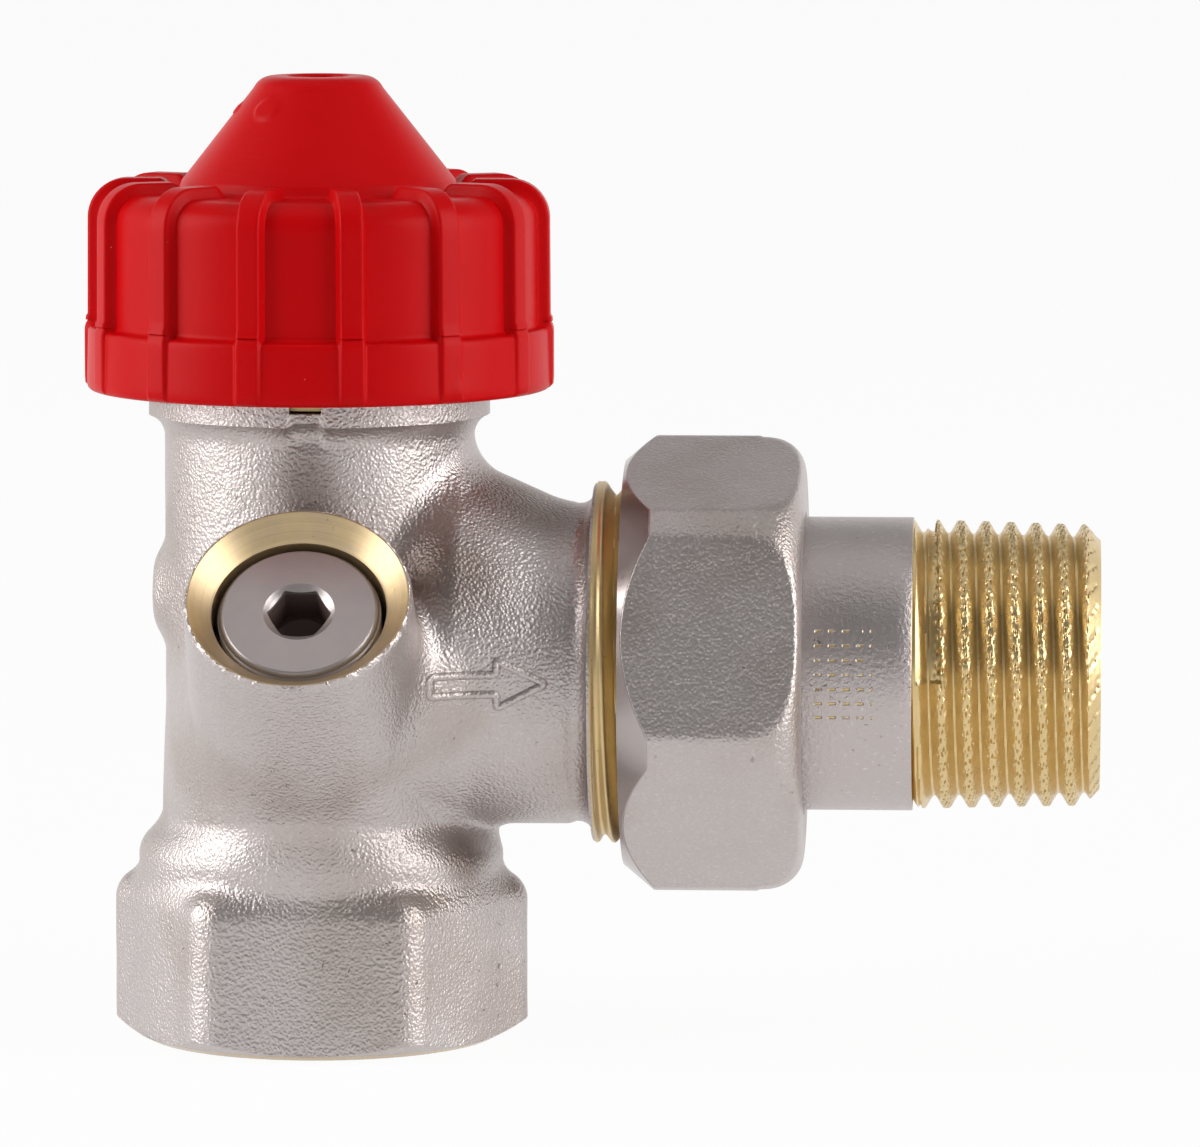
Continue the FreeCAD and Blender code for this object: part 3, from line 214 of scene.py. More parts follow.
def surface_net(field, low, high, step):
    """Polygonises a distance function. Each grid edge that crosses the surface gives a point and a normal.
    Each cell that has such edges gets one vertex at the spot nearest to all their tangent planes, so that
    sharp edges stay sharp, and each crossed edge gives one quad between the four cells round it."""
    axes = [np.arange(a, b + step, step) for a, b in zip(low, high)]
    grid = np.meshgrid(*axes, indexing="ij", sparse=True)
    values = np.broadcast_to(field(*grid), [len(a) for a in axes])
    inside = values < 0
    cells = np.array(values.shape) - 1
    low = np.array([a[0] for a in axes])
    owners, spots, normals, quads = [], [], [], []
    for axis in range(3):
        near, far = [slice(None)] * 3, [slice(None)] * 3
        near[axis], far[axis] = slice(0, -1), slice(1, None)
        near, far = tuple(near), tuple(far)
        where = np.stack(np.nonzero(inside[near] != inside[far]), -1)
        start, end = values[near][tuple(where.T)], values[far][tuple(where.T)]
        spot = where * step + low
        spot[:, axis] += step * start / (start - end)
        slope = slope_of(field, spot)
        size = np.linalg.norm(slope, axis=1, keepdims=True).clip(LEAST_SLOPE)
        spot = spot - slope / size**2 * field(*spot.T)[:, None]
        ring = []
        first, second = [(1, 2), (2, 0), (0, 1)][axis]
        for da, db in ((1, 1), (0, 1), (0, 0), (1, 0)):
            cell = where.copy()
            cell[:, first] -= da
            cell[:, second] -= db
            ring.append(np.ravel_multi_index(tuple(cell.T), cells))
            owners.append(ring[-1])
            spots.append(spot)
            normals.append(slope / size)
        quad = np.stack(ring, -1)
        outward = inside[near][tuple(where.T)]
        quad[~outward] = quad[~outward][:, ::-1]
        quads.append(quad)
    numbers, owner = np.unique(np.concatenate(owners), return_inverse=True)
    spots, normals = np.vstack(spots), np.vstack(normals)

    def total(weights):
        return np.bincount(owner, weights, len(numbers))

    count = total(np.ones(len(owner)))
    middle = np.stack([total(part) for part in spots.T], -1) / count[:, None]
    offset = (normals * (spots - middle[owner])).sum(1)
    planes = np.array([[total(a * b) for b in normals.T] for a in normals.T]).transpose(2, 0, 1)
    planes = planes + np.eye(3) * HOLD * count[:, None, None]
    pull = np.stack([total(part * offset) for part in normals.T], -1)
    move = np.linalg.solve(planes, pull[..., None])[..., 0]
    points = middle + np.clip(move, -REACH * step, REACH * step)
    return points, np.searchsorted(numbers, np.vstack(quads))


# Shader maths


def math_node(operation, reflected=False):
    """The method that adds a Math node for an operator, its two sides swapped where it is reflected."""

    def method(self, other):
        sides = (other, self) if reflected else (self, other)
        return self.graph.math(operation, *sides)

    return method


class Sock:
    """A shader socket that adds its own Math nodes when it is used in an expression."""

    def __init__(self, graph, socket):
        self.graph = graph
        self.socket = socket

    __add__, __radd__ = math_node("ADD"), math_node("ADD", True)
    __sub__, __rsub__ = math_node("SUBTRACT"), math_node("SUBTRACT", True)
    __mul__, __rmul__ = math_node("MULTIPLY"), math_node("MULTIPLY", True)
    __truediv__, __pow__ = math_node("DIVIDE"), math_node("POWER")
    __gt__, __lt__ = math_node("GREATER_THAN"), math_node("LESS_THAN")
    maximum = math_node("MAXIMUM")

    def between(self, low, high, below=0.0, above=1.0):
        """A smooth step from one value to another as the socket goes from low to high."""
        inputs = {0: self, 1: low, 2: high, 3: below, 4: above}
        return self.graph.node("ShaderNodeMapRange", {"interpolation_type": "SMOOTHSTEP"}, inputs)[0]


def opaque(colour):
    """A colour with full alpha; a socket stays as it is."""
    return colour if isinstance(colour, Sock) else (*colour, 1.0)


def tint(colour, share):
    """A colour with all its parts scaled by a share."""
    return [share * part for part in colour]


class Graph:
    """The node tree of a world or a material, built by name."""

    def __init__(self, owner, output):
        owner.use_nodes = True
        self.owner, self.tree = owner, owner.node_tree
        self.tree.nodes.clear()
        self.output = self.tree.nodes.new(output)

    def node(self, kind, settings, inputs):
        """Adds a node, sets its settings and then its inputs by name or number, and returns its outputs."""
        made = self.tree.nodes.new(kind)
        for key, value in settings.items():
            setattr(made, key, value)
        for key, value in inputs.items():
            if isinstance(value, Sock):
                self.tree.links.new(value.socket, made.inputs[key])
            else:
                made.inputs[key].default_value = value
        return [Sock(self, o) for o in made.outputs if o.enabled]

    def read(self, kind, name):
        """One output, by its name, of a node that needs nothing put in."""
        return Sock(self, self.tree.nodes.new(kind).outputs[name])

    def rays(self, *names):
        """1 for rays of any of these kinds."""
        first, *rest = [self.read("ShaderNodeLightPath", f"Is {name} Ray") for name in names]
        for ray in rest:
            first = first.maximum(ray)
        return first

    def math(self, operation, *values):
        return self.node("ShaderNodeMath", {"operation": operation}, dict(enumerate(values)))[0]

    def root(self, a, b):
        """Length of the vector with those two parts."""
        return (a * a + b * b) ** 0.5

    def mix(self, factor, a, b):
        """Colour between a and b."""
        return self.node("ShaderNodeMix", {"data_type": "RGBA"}, {0: factor, 6: opaque(a), 7: opaque(b)})[0]

    def blend(self, factor, a, b):
        """Shader between a and b."""
        return self.node("ShaderNodeMixShader", {}, {0: factor, 1: a, 2: b})[0]

    def end(self, shader):
        """Ends the tree in a shader and returns what it belongs to."""
        self.tree.links.new(shader.socket, self.output.inputs[0])
        return self.owner


class Finish(Graph):
    """A material, with the place on the object in millimetres."""

    def __init__(self, name):
        super().__init__(bpy.data.materials.new(name), "ShaderNodeOutputMaterial")
        inputs = {0: self.read("ShaderNodeTexCoord", "Object"), 3: 1 / MM}
        self.place = self.node("ShaderNodeVectorMath", {"operation": "SCALE"}, inputs)[0]
        self.x, self.y, self.z = self.node("ShaderNodeSeparateXYZ", {}, {0: self.place})

    def noise(self, scale, detail=2.0, rough=0.5, vector=None, distortion=0.0):
        """Noise whose scale is in features per millimetre."""
        inputs = {"Vector": vector or self.place, "Scale": scale, "Detail": detail}
        inputs |= {"Roughness": rough, "Distortion": distortion}
        return self.node("ShaderNodeTexNoise", {}, inputs)[0]

    def bump(self, height, strength, depth):
        """Normal of a relief whose depth is in millimetres."""
        inputs = {"Height": height, "Strength": strength, "Distance": depth * MM}
        return self.node("ShaderNodeBump", {}, inputs)[0]

    def shade(self, colour, roughness, metallic, normal, specular=0.5):
        """Ends the tree in a Principled shader and returns the material."""
        inputs = {"Base Color": opaque(colour), "Roughness": roughness, "Metallic": metallic}
        inputs |= {"Normal": normal, "Specular IOR Level": specular}
        return self.end(self.node("ShaderNodeBsdfPrincipled", {}, inputs)[0])


# Sizes and colours


def length(name, description, millimetres):
    settings = {"unit": "LENGTH", "precision": 5}
    return FloatProperty(name=name, description=description, default=millimetres * MM, **settings)


def colour(name, description, red, green, blue):
    settings = {"size": 3, "subtype": "COLOR", "min": 0.0, "max": 1.0}
    return FloatVectorProperty(name=name, description=description, default=(red, green, blue), **settings)


class ForgingSizes(bpy.types.PropertyGroup):
    """Sizes of the forged body."""

    flats: length("Across flats", "Width of the hexagonal foot between opposite flats", 27.0)
    corner_round: length("Corner round", "Radius that rounds the foot's six corners", 2.84)
    foot_top: length("Foot top", "Height at which the foot's rounded top ends", 12.1)
    foot_round: length("Foot round", "Radius along the foot's top edge", 2.2)
    base_radius: length("Base radius", "Radius of the flat face round the inlet", 12.95)
    shoulder_radius: length("Shoulder radius", "Radius of the step between foot and neck", 13.35)
    shoulder_top: length("Shoulder top", "Height of the top of that step", 15.6)
    neck_radius: length("Neck radius", "Radius of the neck under the collar", 11.3)
    collar_radius: length("Collar radius", "Radius of the collar that holds the housing", 12.35)
    collar_base: length("Collar base", "Height at which the collar starts", 45.8)
    branch_radius: length("Branch radius", "Radius of the outlet branch", 11.65)
    branch_end: length("Branch end", "Distance of the union thread's start from the valve axis", 20.6)
    boss_radius: length("Boss radius", "Radius of the boss round the regulating port", 8.15)
    step: length("Facet size", "Distance between the points of the forging's surface", 0.38)
    waviness: length("Waviness", "Height of the slow waves that forging leaves", 0.035)


class UnionSizes(bpy.types.PropertyGroup):
    """Sizes of the union between the branch and the tailpiece."""

    flats: length("Across flats", "Width of the union nut between opposite flats", 30.0)
    corner_radius: length("Corner radius", "Radius of the nut's turned corners", 16.65)
    start: length("Nut start", "Distance of the nut's front face from the valve axis", 22.4)
    nut_length: length("Nut length", "Length of the nut along the outlet", 13.1)
    turn: FloatProperty(
        name="Nut turn",
        description="Angle of the nut's front flat",
        default=math.radians(13.7),
        subtype="ANGLE",
    )
    thread_radius: length("Thread radius", "Outside radius of the union's pipe thread", 13.22)
    tail_radius: length("Tail radius", "Radius of the tailpiece's plain part", 10.7)
    tail_shoulder: length("Tail shoulder", "Distance of the tail thread's start from the valve axis", 43.4)
    tail_end: length("Tail end", "Distance of the tail thread's end from the valve axis", 57.0)
    tail_bore: length("Tail bore", "Radius of the tailpiece's bore", 7.3)
    notch_spacing: length("Notch spacing", "Distance between the dents in the thread's crests", 2.1)


class CapSizes(bpy.types.PropertyGroup):
    """Sizes of the hand cap."""

    base: length("Base", "Height of the cap's lower edge", 47.6)
    top: length("Top", "Height of the cap's top", 70.3)
    lip_radius: length("Lip radius", "Radius of the lip", 16.92)
    skirt_radius: length("Skirt radius", "Radius of the band above the lip", 16.84)
    wall_radius: length("Wall radius", "Radius of the panels between the ribs", 16.0)
    rib_width: length("Rib width", "Width of a rib", 1.95)
    rib_height: length("Rib height", "Height of a rib above the panels", 0.85)
    ribs: IntProperty(name="Ribs", description="Number of ribs round the cap", default=14, min=3)


class FinishColours(bpy.types.PropertyGroup):
    """Colours of the finishes."""

    nickel: colour("Nickel", "Shot-blasted nickel plating", 0.54, 0.485, 0.47)
    # the glint colour is a painted highlight, laid on the peaks of the grain
    nickel_painted_glint: colour("Nickel glint", "Peaks of the blasted grain", 0.86, 0.83, 0.79)
    brass: colour("Brass", "Freshly machined brass", 0.70, 0.53, 0.27)
    pale_brass: colour("Pale brass", "Turned brass with a thin oxide", 0.52, 0.40, 0.255)
    red: colour("Red", "Moulded cap", 0.64, 0.001, 0.003)
    white: colour("White", "Moulded inner parts", 0.80, 0.80, 0.77)
    rubber: colour("Rubber", "Seals", 0.018, 0.018, 0.019)
    felt: colour("Felt", "Dust ring", 0.30, 0.29, 0.27)
    floor: colour("Floor", "Studio floor", 0.93, 0.93, 0.93)


class Millimetres:
    """Reads a group's lengths in millimetres."""

    def __init__(self, group):
        self._group = group

    def __getattr__(self, name):
        return getattr(self._group, name) / MM


# The forged body

# bores cut into the forging along each axis: a radius and the two places it runs between
VALVE_BORES = (
    (10.6, -2.0, 13.2),
    (8.0, 0.0, 14.3),
    (4.6, 13.0, 30.0),
    (9.45, 36.5, 50.0),
    (11.35, 46.7, 50.0),
)
OUTLET_BORES = ((7.3, 6.6, 22.0), (9.6, 14.5, 22.0))
PORT_BORES = ((6.36, 19.0, 26.0), (2.3, 5.0, 20.0))


def port_place(x, y, z):
    """Distance along the port axis, and radius from it."""
    along_port = SLANT * (z - PORT_HEIGHT - y)
    across = SLANT * (z - PORT_HEIGHT + y)
    return along_port, np.hypot(x, across)


def drum(radius, place, size, low, high):
    """Distance to a plain cylinder of that size between two places on its axis."""
    return np.maximum(radius - size, np.maximum(low - place, place - high))


def waves(x, y, z):
    """Slow unevenness between -1 and 1: a few crossed sine waves out of step with each other."""
    first = np.sin(0.61 * x + 1.3) * np.sin(0.53 * y + 0.4) * np.sin(0.47 * z + 2.0)
    second = np.sin(1.17 * x - 0.6 * z) * np.sin(1.31 * y + 0.7 * z + 1.1)
    return 0.6 * first + 0.4 * second


def forging_field(size):
    """The forged body as one distance: foot, shoulder, neck and collar on the valve axis, a branch and its
    slanting root on the outlet axis, a boss on the port axis and a pad on the left of the stem, all run
    together with fillets, and then the bores and the notch taken away."""

    def outside(x, y, z):
        r, outlet = np.hypot(x, y), np.hypot(y, z - OUTLET_HEIGHT)
        hexagon = hexagon_distance(x, y, size.flats / 2, size.corner_round)
        foot = meet(hexagon, z - size.foot_top, size.foot_round)
        shoulder = meet(r - size.shoulder_radius, z - size.shoulder_top, 2.4)
        neck = drum(r, z, size.neck_radius, 2.0, 48.0)
        collar = drum(r, z, size.collar_radius, size.collar_base, COLLAR_TOP)
        trunk = join(join(join(foot, shoulder, 0.8), neck, 1.3), collar, 1.7)

        branch = drum(outlet, x, size.branch_radius, 0.0, size.branch_end)
        flange = drum(outlet, x, 13.1, size.branch_end - 0.45, size.branch_end)
        # the root grows towards the stem while its axis rises
        slide = 0.225 * (np.maximum(x, 10.6) - 8.0)
        root = (np.hypot(y, z - (29.75 - slide)) - (13.9 - slide)) * 0.95
        root = np.maximum(meet(root, 5.6 - x, 5.0), x - 18.3)
        branch = join(join(branch, flange, 1.1), root, 0.6)

        along_port, port = port_place(x, y, z)
        taper = 0.03 * (27.0 - along_port)
        boss = meet(port - size.boss_radius - taper, along_port - 27.05, 0.45)
        boss = np.maximum(boss, 4.0 - along_port)

        pad_radius = np.hypot(y, z - 32.6)
        pad = meet(pad_radius - 4.2 - (x + 10.6) * 1.1, -x - 12.1, 0.5)
        pad = np.maximum(pad, x + 6.0)

        whole = join(join(trunk, branch, 2.0), pad, 0.9)
        return join(whole, boss, 0.7 + 3.4 * smoothstep(37.0, 26.0, z))

    def field(x, y, z):
        r, outlet = np.hypot(x, y), np.hypot(y, z - OUTLET_HEIGHT)
        along_port, port = port_place(x, y, z)
        whole = outside(x, y, z) + size.waviness * waves(x, y, z)
        whole = whole + 0.4 * smoothstep(43.6, 45.6, z) * smoothstep(1.5, 0.8, np.abs(x)) * (y < 0)
        chamfer = (r - size.base_radius - 1.864 * z) * 0.4727
        for face in (chamfer, -z, z - COLLAR_TOP, x - size.branch_end):
            whole = np.maximum(whole, face)

        cone = (r - 4.6 - (17.6 - z) * 1.03) * 0.7
        cone = np.maximum(cone, np.maximum(13.0 - z, z - 17.6))
        chamber = np.maximum(drum(r, z, 8.2, 20.4, 50.0), -drum(r, z, 6.3, 0.0, 27.08))
        sink = np.maximum((port - 6.36 - (along_port - PORT_FACE)) * SLANT, 25.0 - along_port)
        notch = np.maximum(np.abs(x) - 1.15, np.maximum(y + 6.0, 46.7 - z))
        hollows = [cone, chamber, sink, notch]
        for radius, place, bores in (
            (r, z, VALVE_BORES),
            (outlet, x, OUTLET_BORES),
            (port, along_port, PORT_BORES),
        ):
            hollows += [drum(radius, place, *bore) for bore in bores]
        for hollow in hollows:
            whole = np.maximum(whole, -hollow)
        return whole

    return outside, field


class VALVE_OT_forged_body(bpy.types.Operator):
    """Makes the forged body as one surface: foot, neck, collar, branch, port boss and pad"""

    bl_idname = "valve.forged_body"
    bl_label = "Forged Body"

    def execute(self, context):
        size = Millimetres(context.scene.valve_forging)
        field = forging_field(size)[1]
        low, high = (-16.6, -25.9, -0.7), (size.branch_end + 0.8, 15.6, 49.8)
        points, faces = surface_net(field, low, high, size.step)
        body = finish_mesh("forged_body", points, faces, 38.0)
        paint(body, blasted_nickel("forged_nickel", context.scene.valve_colours, machined=True))
        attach(body, "body")
        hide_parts("valve_body")
        return {"FINISHED"}


# radius and distance along the port of the countersink's section
SINK = (
    (6.25, 23.2), (6.25, 25.4), (6.3, 25.47), (7.83, 27.0), (7.91, 27.0), (7.95, 26.9), (6.6, 25.3),
    (6.6, 23.2),
)


class VALVE_OT_machined_faces(bpy.types.Operator):
    """Makes the brass faces cut into the forging: the port's countersink and the two threads"""

    bl_idname = "valve.machined_faces"
    bl_label = "Machined Faces"

    def execute(self, context):
        forging = Millimetres(context.scene.valve_forging)
        union = Millimetres(context.scene.valve_union)
        ring = sweep("port_countersink", [along(SINK, 0.4).T], around(240), "port", 30.0)
        for piece, name, axis in (
            (ring, "countersink_brass", "port"),
            (branch_thread(forging, union), "union_thread_brass", "outlet"),
            (inlet_thread(), "inlet_thread_brass", "valve"),
        ):
            paint(piece, turned_brass(name, context.scene.valve_colours, axis))
            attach(piece, "body")
            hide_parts("valve_body")
        return {"FINISHED"}


def thread_depth(turns, flat, sharp=0.75):
    """How deep a thread is cut, 0 on the crest and 1 in the root, for a phase in turns with a crest at 0:
    a triangle wave cut off flat at the crest and slightly rounded."""
    rise = 1 - np.abs(2 * (turns % 1.0) - 1)
    rise = np.clip((rise - flat) / (1 - flat * 1.4), 0, 1)
    return sharp * rise + (1 - sharp) * (0.5 - 0.5 * np.cos(math.pi * rise))


def union_depth(place, angle):
    """Depth of the union's thread, the same for the branch and the nut."""
    return thread_depth((place - 21.25) / PITCH + angle / FULL_TURN, 0.08)


def branch_thread(forging, union):
    """Pipe thread on the branch: radius falls from the crest with the distance along and round the branch."""
    start, end = forging.branch_end - 0.25, forging.branch_end + 10.1
    place, angle = np.arange(start, end + 0.05, 0.1), around(192)
    radius = union.thread_radius - union_depth(place, angle) * smoothstep(start, start + 0.9, place)
    radius = np.minimum(radius, union.thread_radius - (place - (end - 1.0)).clip(0) * 0.9)
    return sweep("union_thread", [(radius, place), ([9.6, 9.6], [end, start])], angle, "outlet", 50.0)


def inlet_thread():
    """Pipe thread in the inlet: the bore's radius grows from the crest with the distance along and round."""
    height, angle = np.arange(0.0, 13.3, 0.15), around(160)
    depth = thread_depth(height / PITCH - angle / FULL_TURN, 0.12)
    radius = 9.32 + 1.05 * depth * smoothstep(13.2, 11.4, height)
    radius = np.maximum(radius, 10.5 - height * 1.1)
    return sweep("inlet_thread", [(radius, height), ([10.8, 10.8], [13.25, 0.0])], angle, "valve", 50.0)


class VALVE_OT_flow_arrow(bpy.types.Operator):
    """Makes the raised outline of the flow arrow on the branch"""

    bl_idname = "valve.flow_arrow"
    bl_label = "Flow Arrow"

    def execute(self, context):
        size = Millimetres(context.scene.valve_forging)
        outside = forging_field(size)[0]
        tip, neck, start, middle = 17.2, 13.7, 9.1, 27.35
        head, shaft = 1.75, 0.72
        upper = [(start, shaft), (neck, shaft), (neck, head)]
        lower = [(x, -z) for x, z in reversed(upper)]
        outline = np.array([*upper, (tip, 0), *lower, upper[0]]) + [0, middle]
        path = along(outline, 0.12)[:-1]
        path = sum(np.roll(path, k, axis=0) for k in (-2, -1, 0, 1, 2)) / 5
        ahead = np.roll(path, -1, axis=0) - np.roll(path, 1, axis=0)
        ahead /= np.linalg.norm(ahead, axis=1, keepdims=True)
        side = np.stack([ahead[:, 1], -ahead[:, 0]], -1)
        across = np.array([-0.34, -0.27, -0.16, 0.0, 0.16, 0.27, 0.34, 0.25, -0.25])
        lift = np.array([-0.08, 0.06, 0.19, 0.24, 0.19, 0.06, -0.08, -0.5, -0.5])
        place = path[:, None, :] + side[:, None, :] * across[None, :, None]
        # halving finds the forging's front surface under each point
        front, back = np.full(place.shape[:2], -17.0), np.full(place.shape[:2], -6.0)
        for _ in range(30):
            half = (front + back) / 2
            inside = outside(place[..., 0], half, place[..., 1]) < 0
            back = np.where(inside, half, back)
            front = np.where(inside, front, half)
        points = np.stack([place[..., 0], front - lift[None, :], place[..., 1]], -1)
        faces = grid_faces(len(path), len(across), wrap_columns=True)
        arrow = finish_mesh("flow_arrow", points.reshape(-1, 3), faces, 80.0)
        paint(arrow, blasted_nickel("arrow_nickel", context.scene.valve_colours))
        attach(arrow, "body")
        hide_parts("valve_body")
        return {"FINISHED"}


# Union nut, tailpiece and regulating spindle

CHAMFER_FOOT = 14.8  # radius of the nut's turned front face


def hexagon_radius(angle, inradius, cut):
    """Distance from the axis to a hexagon with flats every 60 degrees from 0, its corners cut by a circle."""
    fold = (angle + math.pi / 6) % (math.pi / 3) - math.pi / 6
    return soft_least(inradius / np.cos(fold), cut, 0.12)


def soft_least(a, b, blend):
    """The smaller of two values, with a rounded change from one to the other."""
    h = np.clip(0.5 + 0.5 * (b - a) / blend, 0, 1)
    return b + (a - b) * h - blend * h * (1 - h)


class VALVE_OT_union_nut(bpy.types.Operator):
    """Makes the union nut: a hexagon with a turned front chamfer, a domed back and a thread inside"""

    bl_idname = "valve.union_nut"
    bl_label = "Union Nut"

    def execute(self, context):
        size = Millimetres(context.scene.valve_union)
        angle = around(360)
        flats = hexagon_radius(angle - context.scene.valve_union.turn, size.flats / 2, size.corner_radius)
        start, end, dome = size.start, size.start + size.nut_length, 3.4
        rise = (size.corner_radius - CHAMFER_FOOT) / 2.2
        crease = start + (flats - CHAMFER_FOOT) / rise
        chamfer = start + (crease - start) * np.linspace(0, 1, 9)
        side = crease + (end - dome - crease) * np.linspace(0, 1, 36)[1:]
        bend = np.radians(np.linspace(0, 90, 26))[1:]
        inside = np.arange(end - 2.1, start + 0.9, -0.15)
        cut = union_depth(inside, angle) * smoothstep(end - 3.2, end - 4.4, inside)
        parts = [
            (CHAMFER_FOOT + (chamfer - start) * rise, chamfer),
            (flats + 0 * side, side),
            (soft_least(flats, 13.6 + 3.05 * np.cos(bend) ** 0.8, 0.35), end - dome + dome * np.sin(bend)),
            ([11.1, 10.86, 10.86, 13.4], [end, end - 0.25, end - 2.0, end - 2.0]),
            (13.42 - cut, inside),
            ([13.1, 13.5, 13.9], [start + 0.75, start + 0.35, start]),
        ]
        nut = sweep("union_nut_shell", parts, angle, "outlet", 30.0)
        paint(nut, blasted_nickel("nut_nickel", context.scene.valve_colours, turned_from=start))
        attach(nut, "nut")
        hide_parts("union_nut")
        return {"FINISHED"}


# radius and distance from the nose of the tailpiece's inner end and of the flange that the nut holds
TAIL_FLANGE = (
    (9.2, 0.0), (9.5, 0.3), (9.5, 6.8), (11.6, 7.1), (11.85, 7.35), (11.85, 8.9), (11.6, 9.1),
)


class VALVE_OT_tailpiece(bpy.types.Operator):
    """Makes the tailpiece: a plain sleeve, a tapered thread with dented crests, and its bore"""

    bl_idname = "valve.tailpiece"
    bl_label = "Tailpiece"

    def execute(self, context):
        size = Millimetres(context.scene.valve_union)
        shoulder, end, angle = size.tail_shoulder, size.tail_end, around(384)
        x = np.concatenate([np.arange(shoulder + 0.04, end - 0.9, 0.095), np.linspace(end - 0.88, end, 9)])
        turns = (x - 45.5) / PITCH + angle / FULL_TURN
        depth = thread_depth(turns, 0.24, 0.8)
        crest = size.tail_radius - 0.14 - (x - shoulder) * 0.026
        radius = crest - 0.92 * depth
        runout = 10.62 - 0.95 * smoothstep(shoulder, shoulder + 1.5, x)
        radius = np.where(turns < 0.0, np.minimum(radius, runout), radius)
        radius = soft_least(radius, 10.7 - (x - (end - 1.55)) * 1.05, 0.1)
        # dents: short dips across the crest at even spacing along the helix, each with a raised lip
        step = turns * FULL_TURN * 10.4 / size.notch_spacing
        step = step + 0.1 * np.sin(7.3 * np.floor(turns)) + 0.05 * np.sin(5.0 * np.floor(step))
        near = np.abs(step % 1.0 - 0.5) * size.notch_spacing
        uneven = np.sin(31.0 * angle + 9.0 * x) * np.sin(17.0 * angle - 14.0 * x)
        dent = -0.15 * np.exp(-((near / 0.2) ** 2)) + 0.03 * np.exp(-(((near - 0.38) / 0.14) ** 2))
        dent = smoothstep(0.62, 0.2, depth) * dent * (1 + 0.25 * uneven)
        radius = radius + dent * smoothstep(44.6, 45.4, x)

        nose, bore = size.start + 1.2, size.tail_bore
        front = [(bore, nose)] + [(r, nose + place) for r, place in TAIL_FLANGE]
        front += [(size.tail_radius, place) for place in (nose + 9.15, 36.0, shoulder - 0.05)]
        front = along([*front, (size.tail_radius - 0.04, shoulder)], 1.4)
        back = along([(bore + 0.6, end), (bore, end - 0.6), (bore, nose + 0.5)], 1.4)
        tail = sweep("tailpiece_shell", [front.T, (radius, x), back.T], angle, "outlet", 40.0)
        paint(tail, tail_finish(context.scene.valve_colours, shoulder))
        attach(tail, "tail")
        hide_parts("tailpiece")
        return {"FINISHED"}


# radius and distance below the face: the face with its worn thread start, and the drilled socket's bottom
SPINDLE_FACE = (
    (2.55, 0.0), (2.7, 0.0), (4.0, 0.0), (5.42, 0.0), (5.5, 0.04), (5.72, 0.3), (5.74, 0.36), (5.70, 0.42),
    (5.76, 0.47), (5.72, 0.53), (5.79, 0.58), (5.75, 0.64), (5.85, 0.72),
)
SPINDLE_DRILL = ((0.0, 4.1), (1.0, 3.65), (1.8, 3.2))
# radius and distance along the port: grooves for the seal and its ring, and the nose
SPINDLE_SHANK = (
    (3.26, 21.6), (3.26, 18.8), (2.3, 18.7), (2.3, 17.5), (3.26, 17.4), (3.26, 17.1), (2.2, 16.6), (2.2, 7.5),
    (1.6, 6.6), (0.0, 6.6),
)


class VALVE_OT_regulating_spindle(bpy.types.Operator):
    """Makes the regulating spindle: a bevelled face with a hexagon socket, a fine thread and a shank"""

    bl_idname = "valve.regulating_spindle"
    bl_label = "Regulating Spindle"

    def execute(self, context):
        angle = around(240)
        flat, rim, bottom = 2.0, 2.55, PORT_FACE - 3.2
        flats = hexagon_radius(angle + math.pi / 6, flat, 2.31)
        crease = PORT_FACE - 0.35 + (flats - flat) * (0.35 / (rim - flat))
        drill = [(r, PORT_FACE - below) for r, below in SPINDLE_DRILL]
        face = [(r, PORT_FACE - below) for r, below in SPINDLE_FACE]
        comb = [(5.8 - 0.5 * (k % 2), 24.7 - 0.25 * k) for k in range(12)]
        wall = bottom + (crease - bottom) * np.linspace(0, 1, 12)
        share = np.linspace(0, 1, 4)[1:-1]
        parts = [
            np.array(drill).T,
            (flats + 0 * wall, wall),
            (flats + (rim - flats) * share, crease + (PORT_FACE - crease) * share),
            np.array([*face, (5.85, 24.8), *comb, *SPINDLE_SHANK]).T,
        ]
        spindle = sweep("spindle_shell", parts, angle, "port", 25.0, closed=False)
        paint(spindle, spindle_finish(context.scene.valve_colours))
        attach(spindle, "spindle")
        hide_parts("regulating_spindle")
        return {"FINISHED"}


# Cap and spring

# degrees round the valve axis, height, half width, half height and how far each mark stands proud
MOULD_MARKS = (
    (190.0, 68.0, 0.5, 0.45, 0.16),
    (234.0, 68.1, 1.2, 0.85, 0.13),
    (311.5, 48.3, 0.85, 0.9, 0.1),
)
# where the points of a rib's flank lie, in half widths from its middle, and those between two ribs, as shares
RIB_PLACES = np.array([0, 0.35, 0.58, 0.70, 0.79, 0.86, 0.93, 1.0, 1.08, 1.18, 1.32])
GAP_PLACES = np.array([0.12, 0.3, 0.5, 0.7, 0.88])
# radius and height of the inside above the thread
CAP_CEILING = ((15.15, 57.8), (15.15, 59.0), (13.95, 60.4), (8.0, 60.4), (4.0, 66.2), (0.0, 66.2))


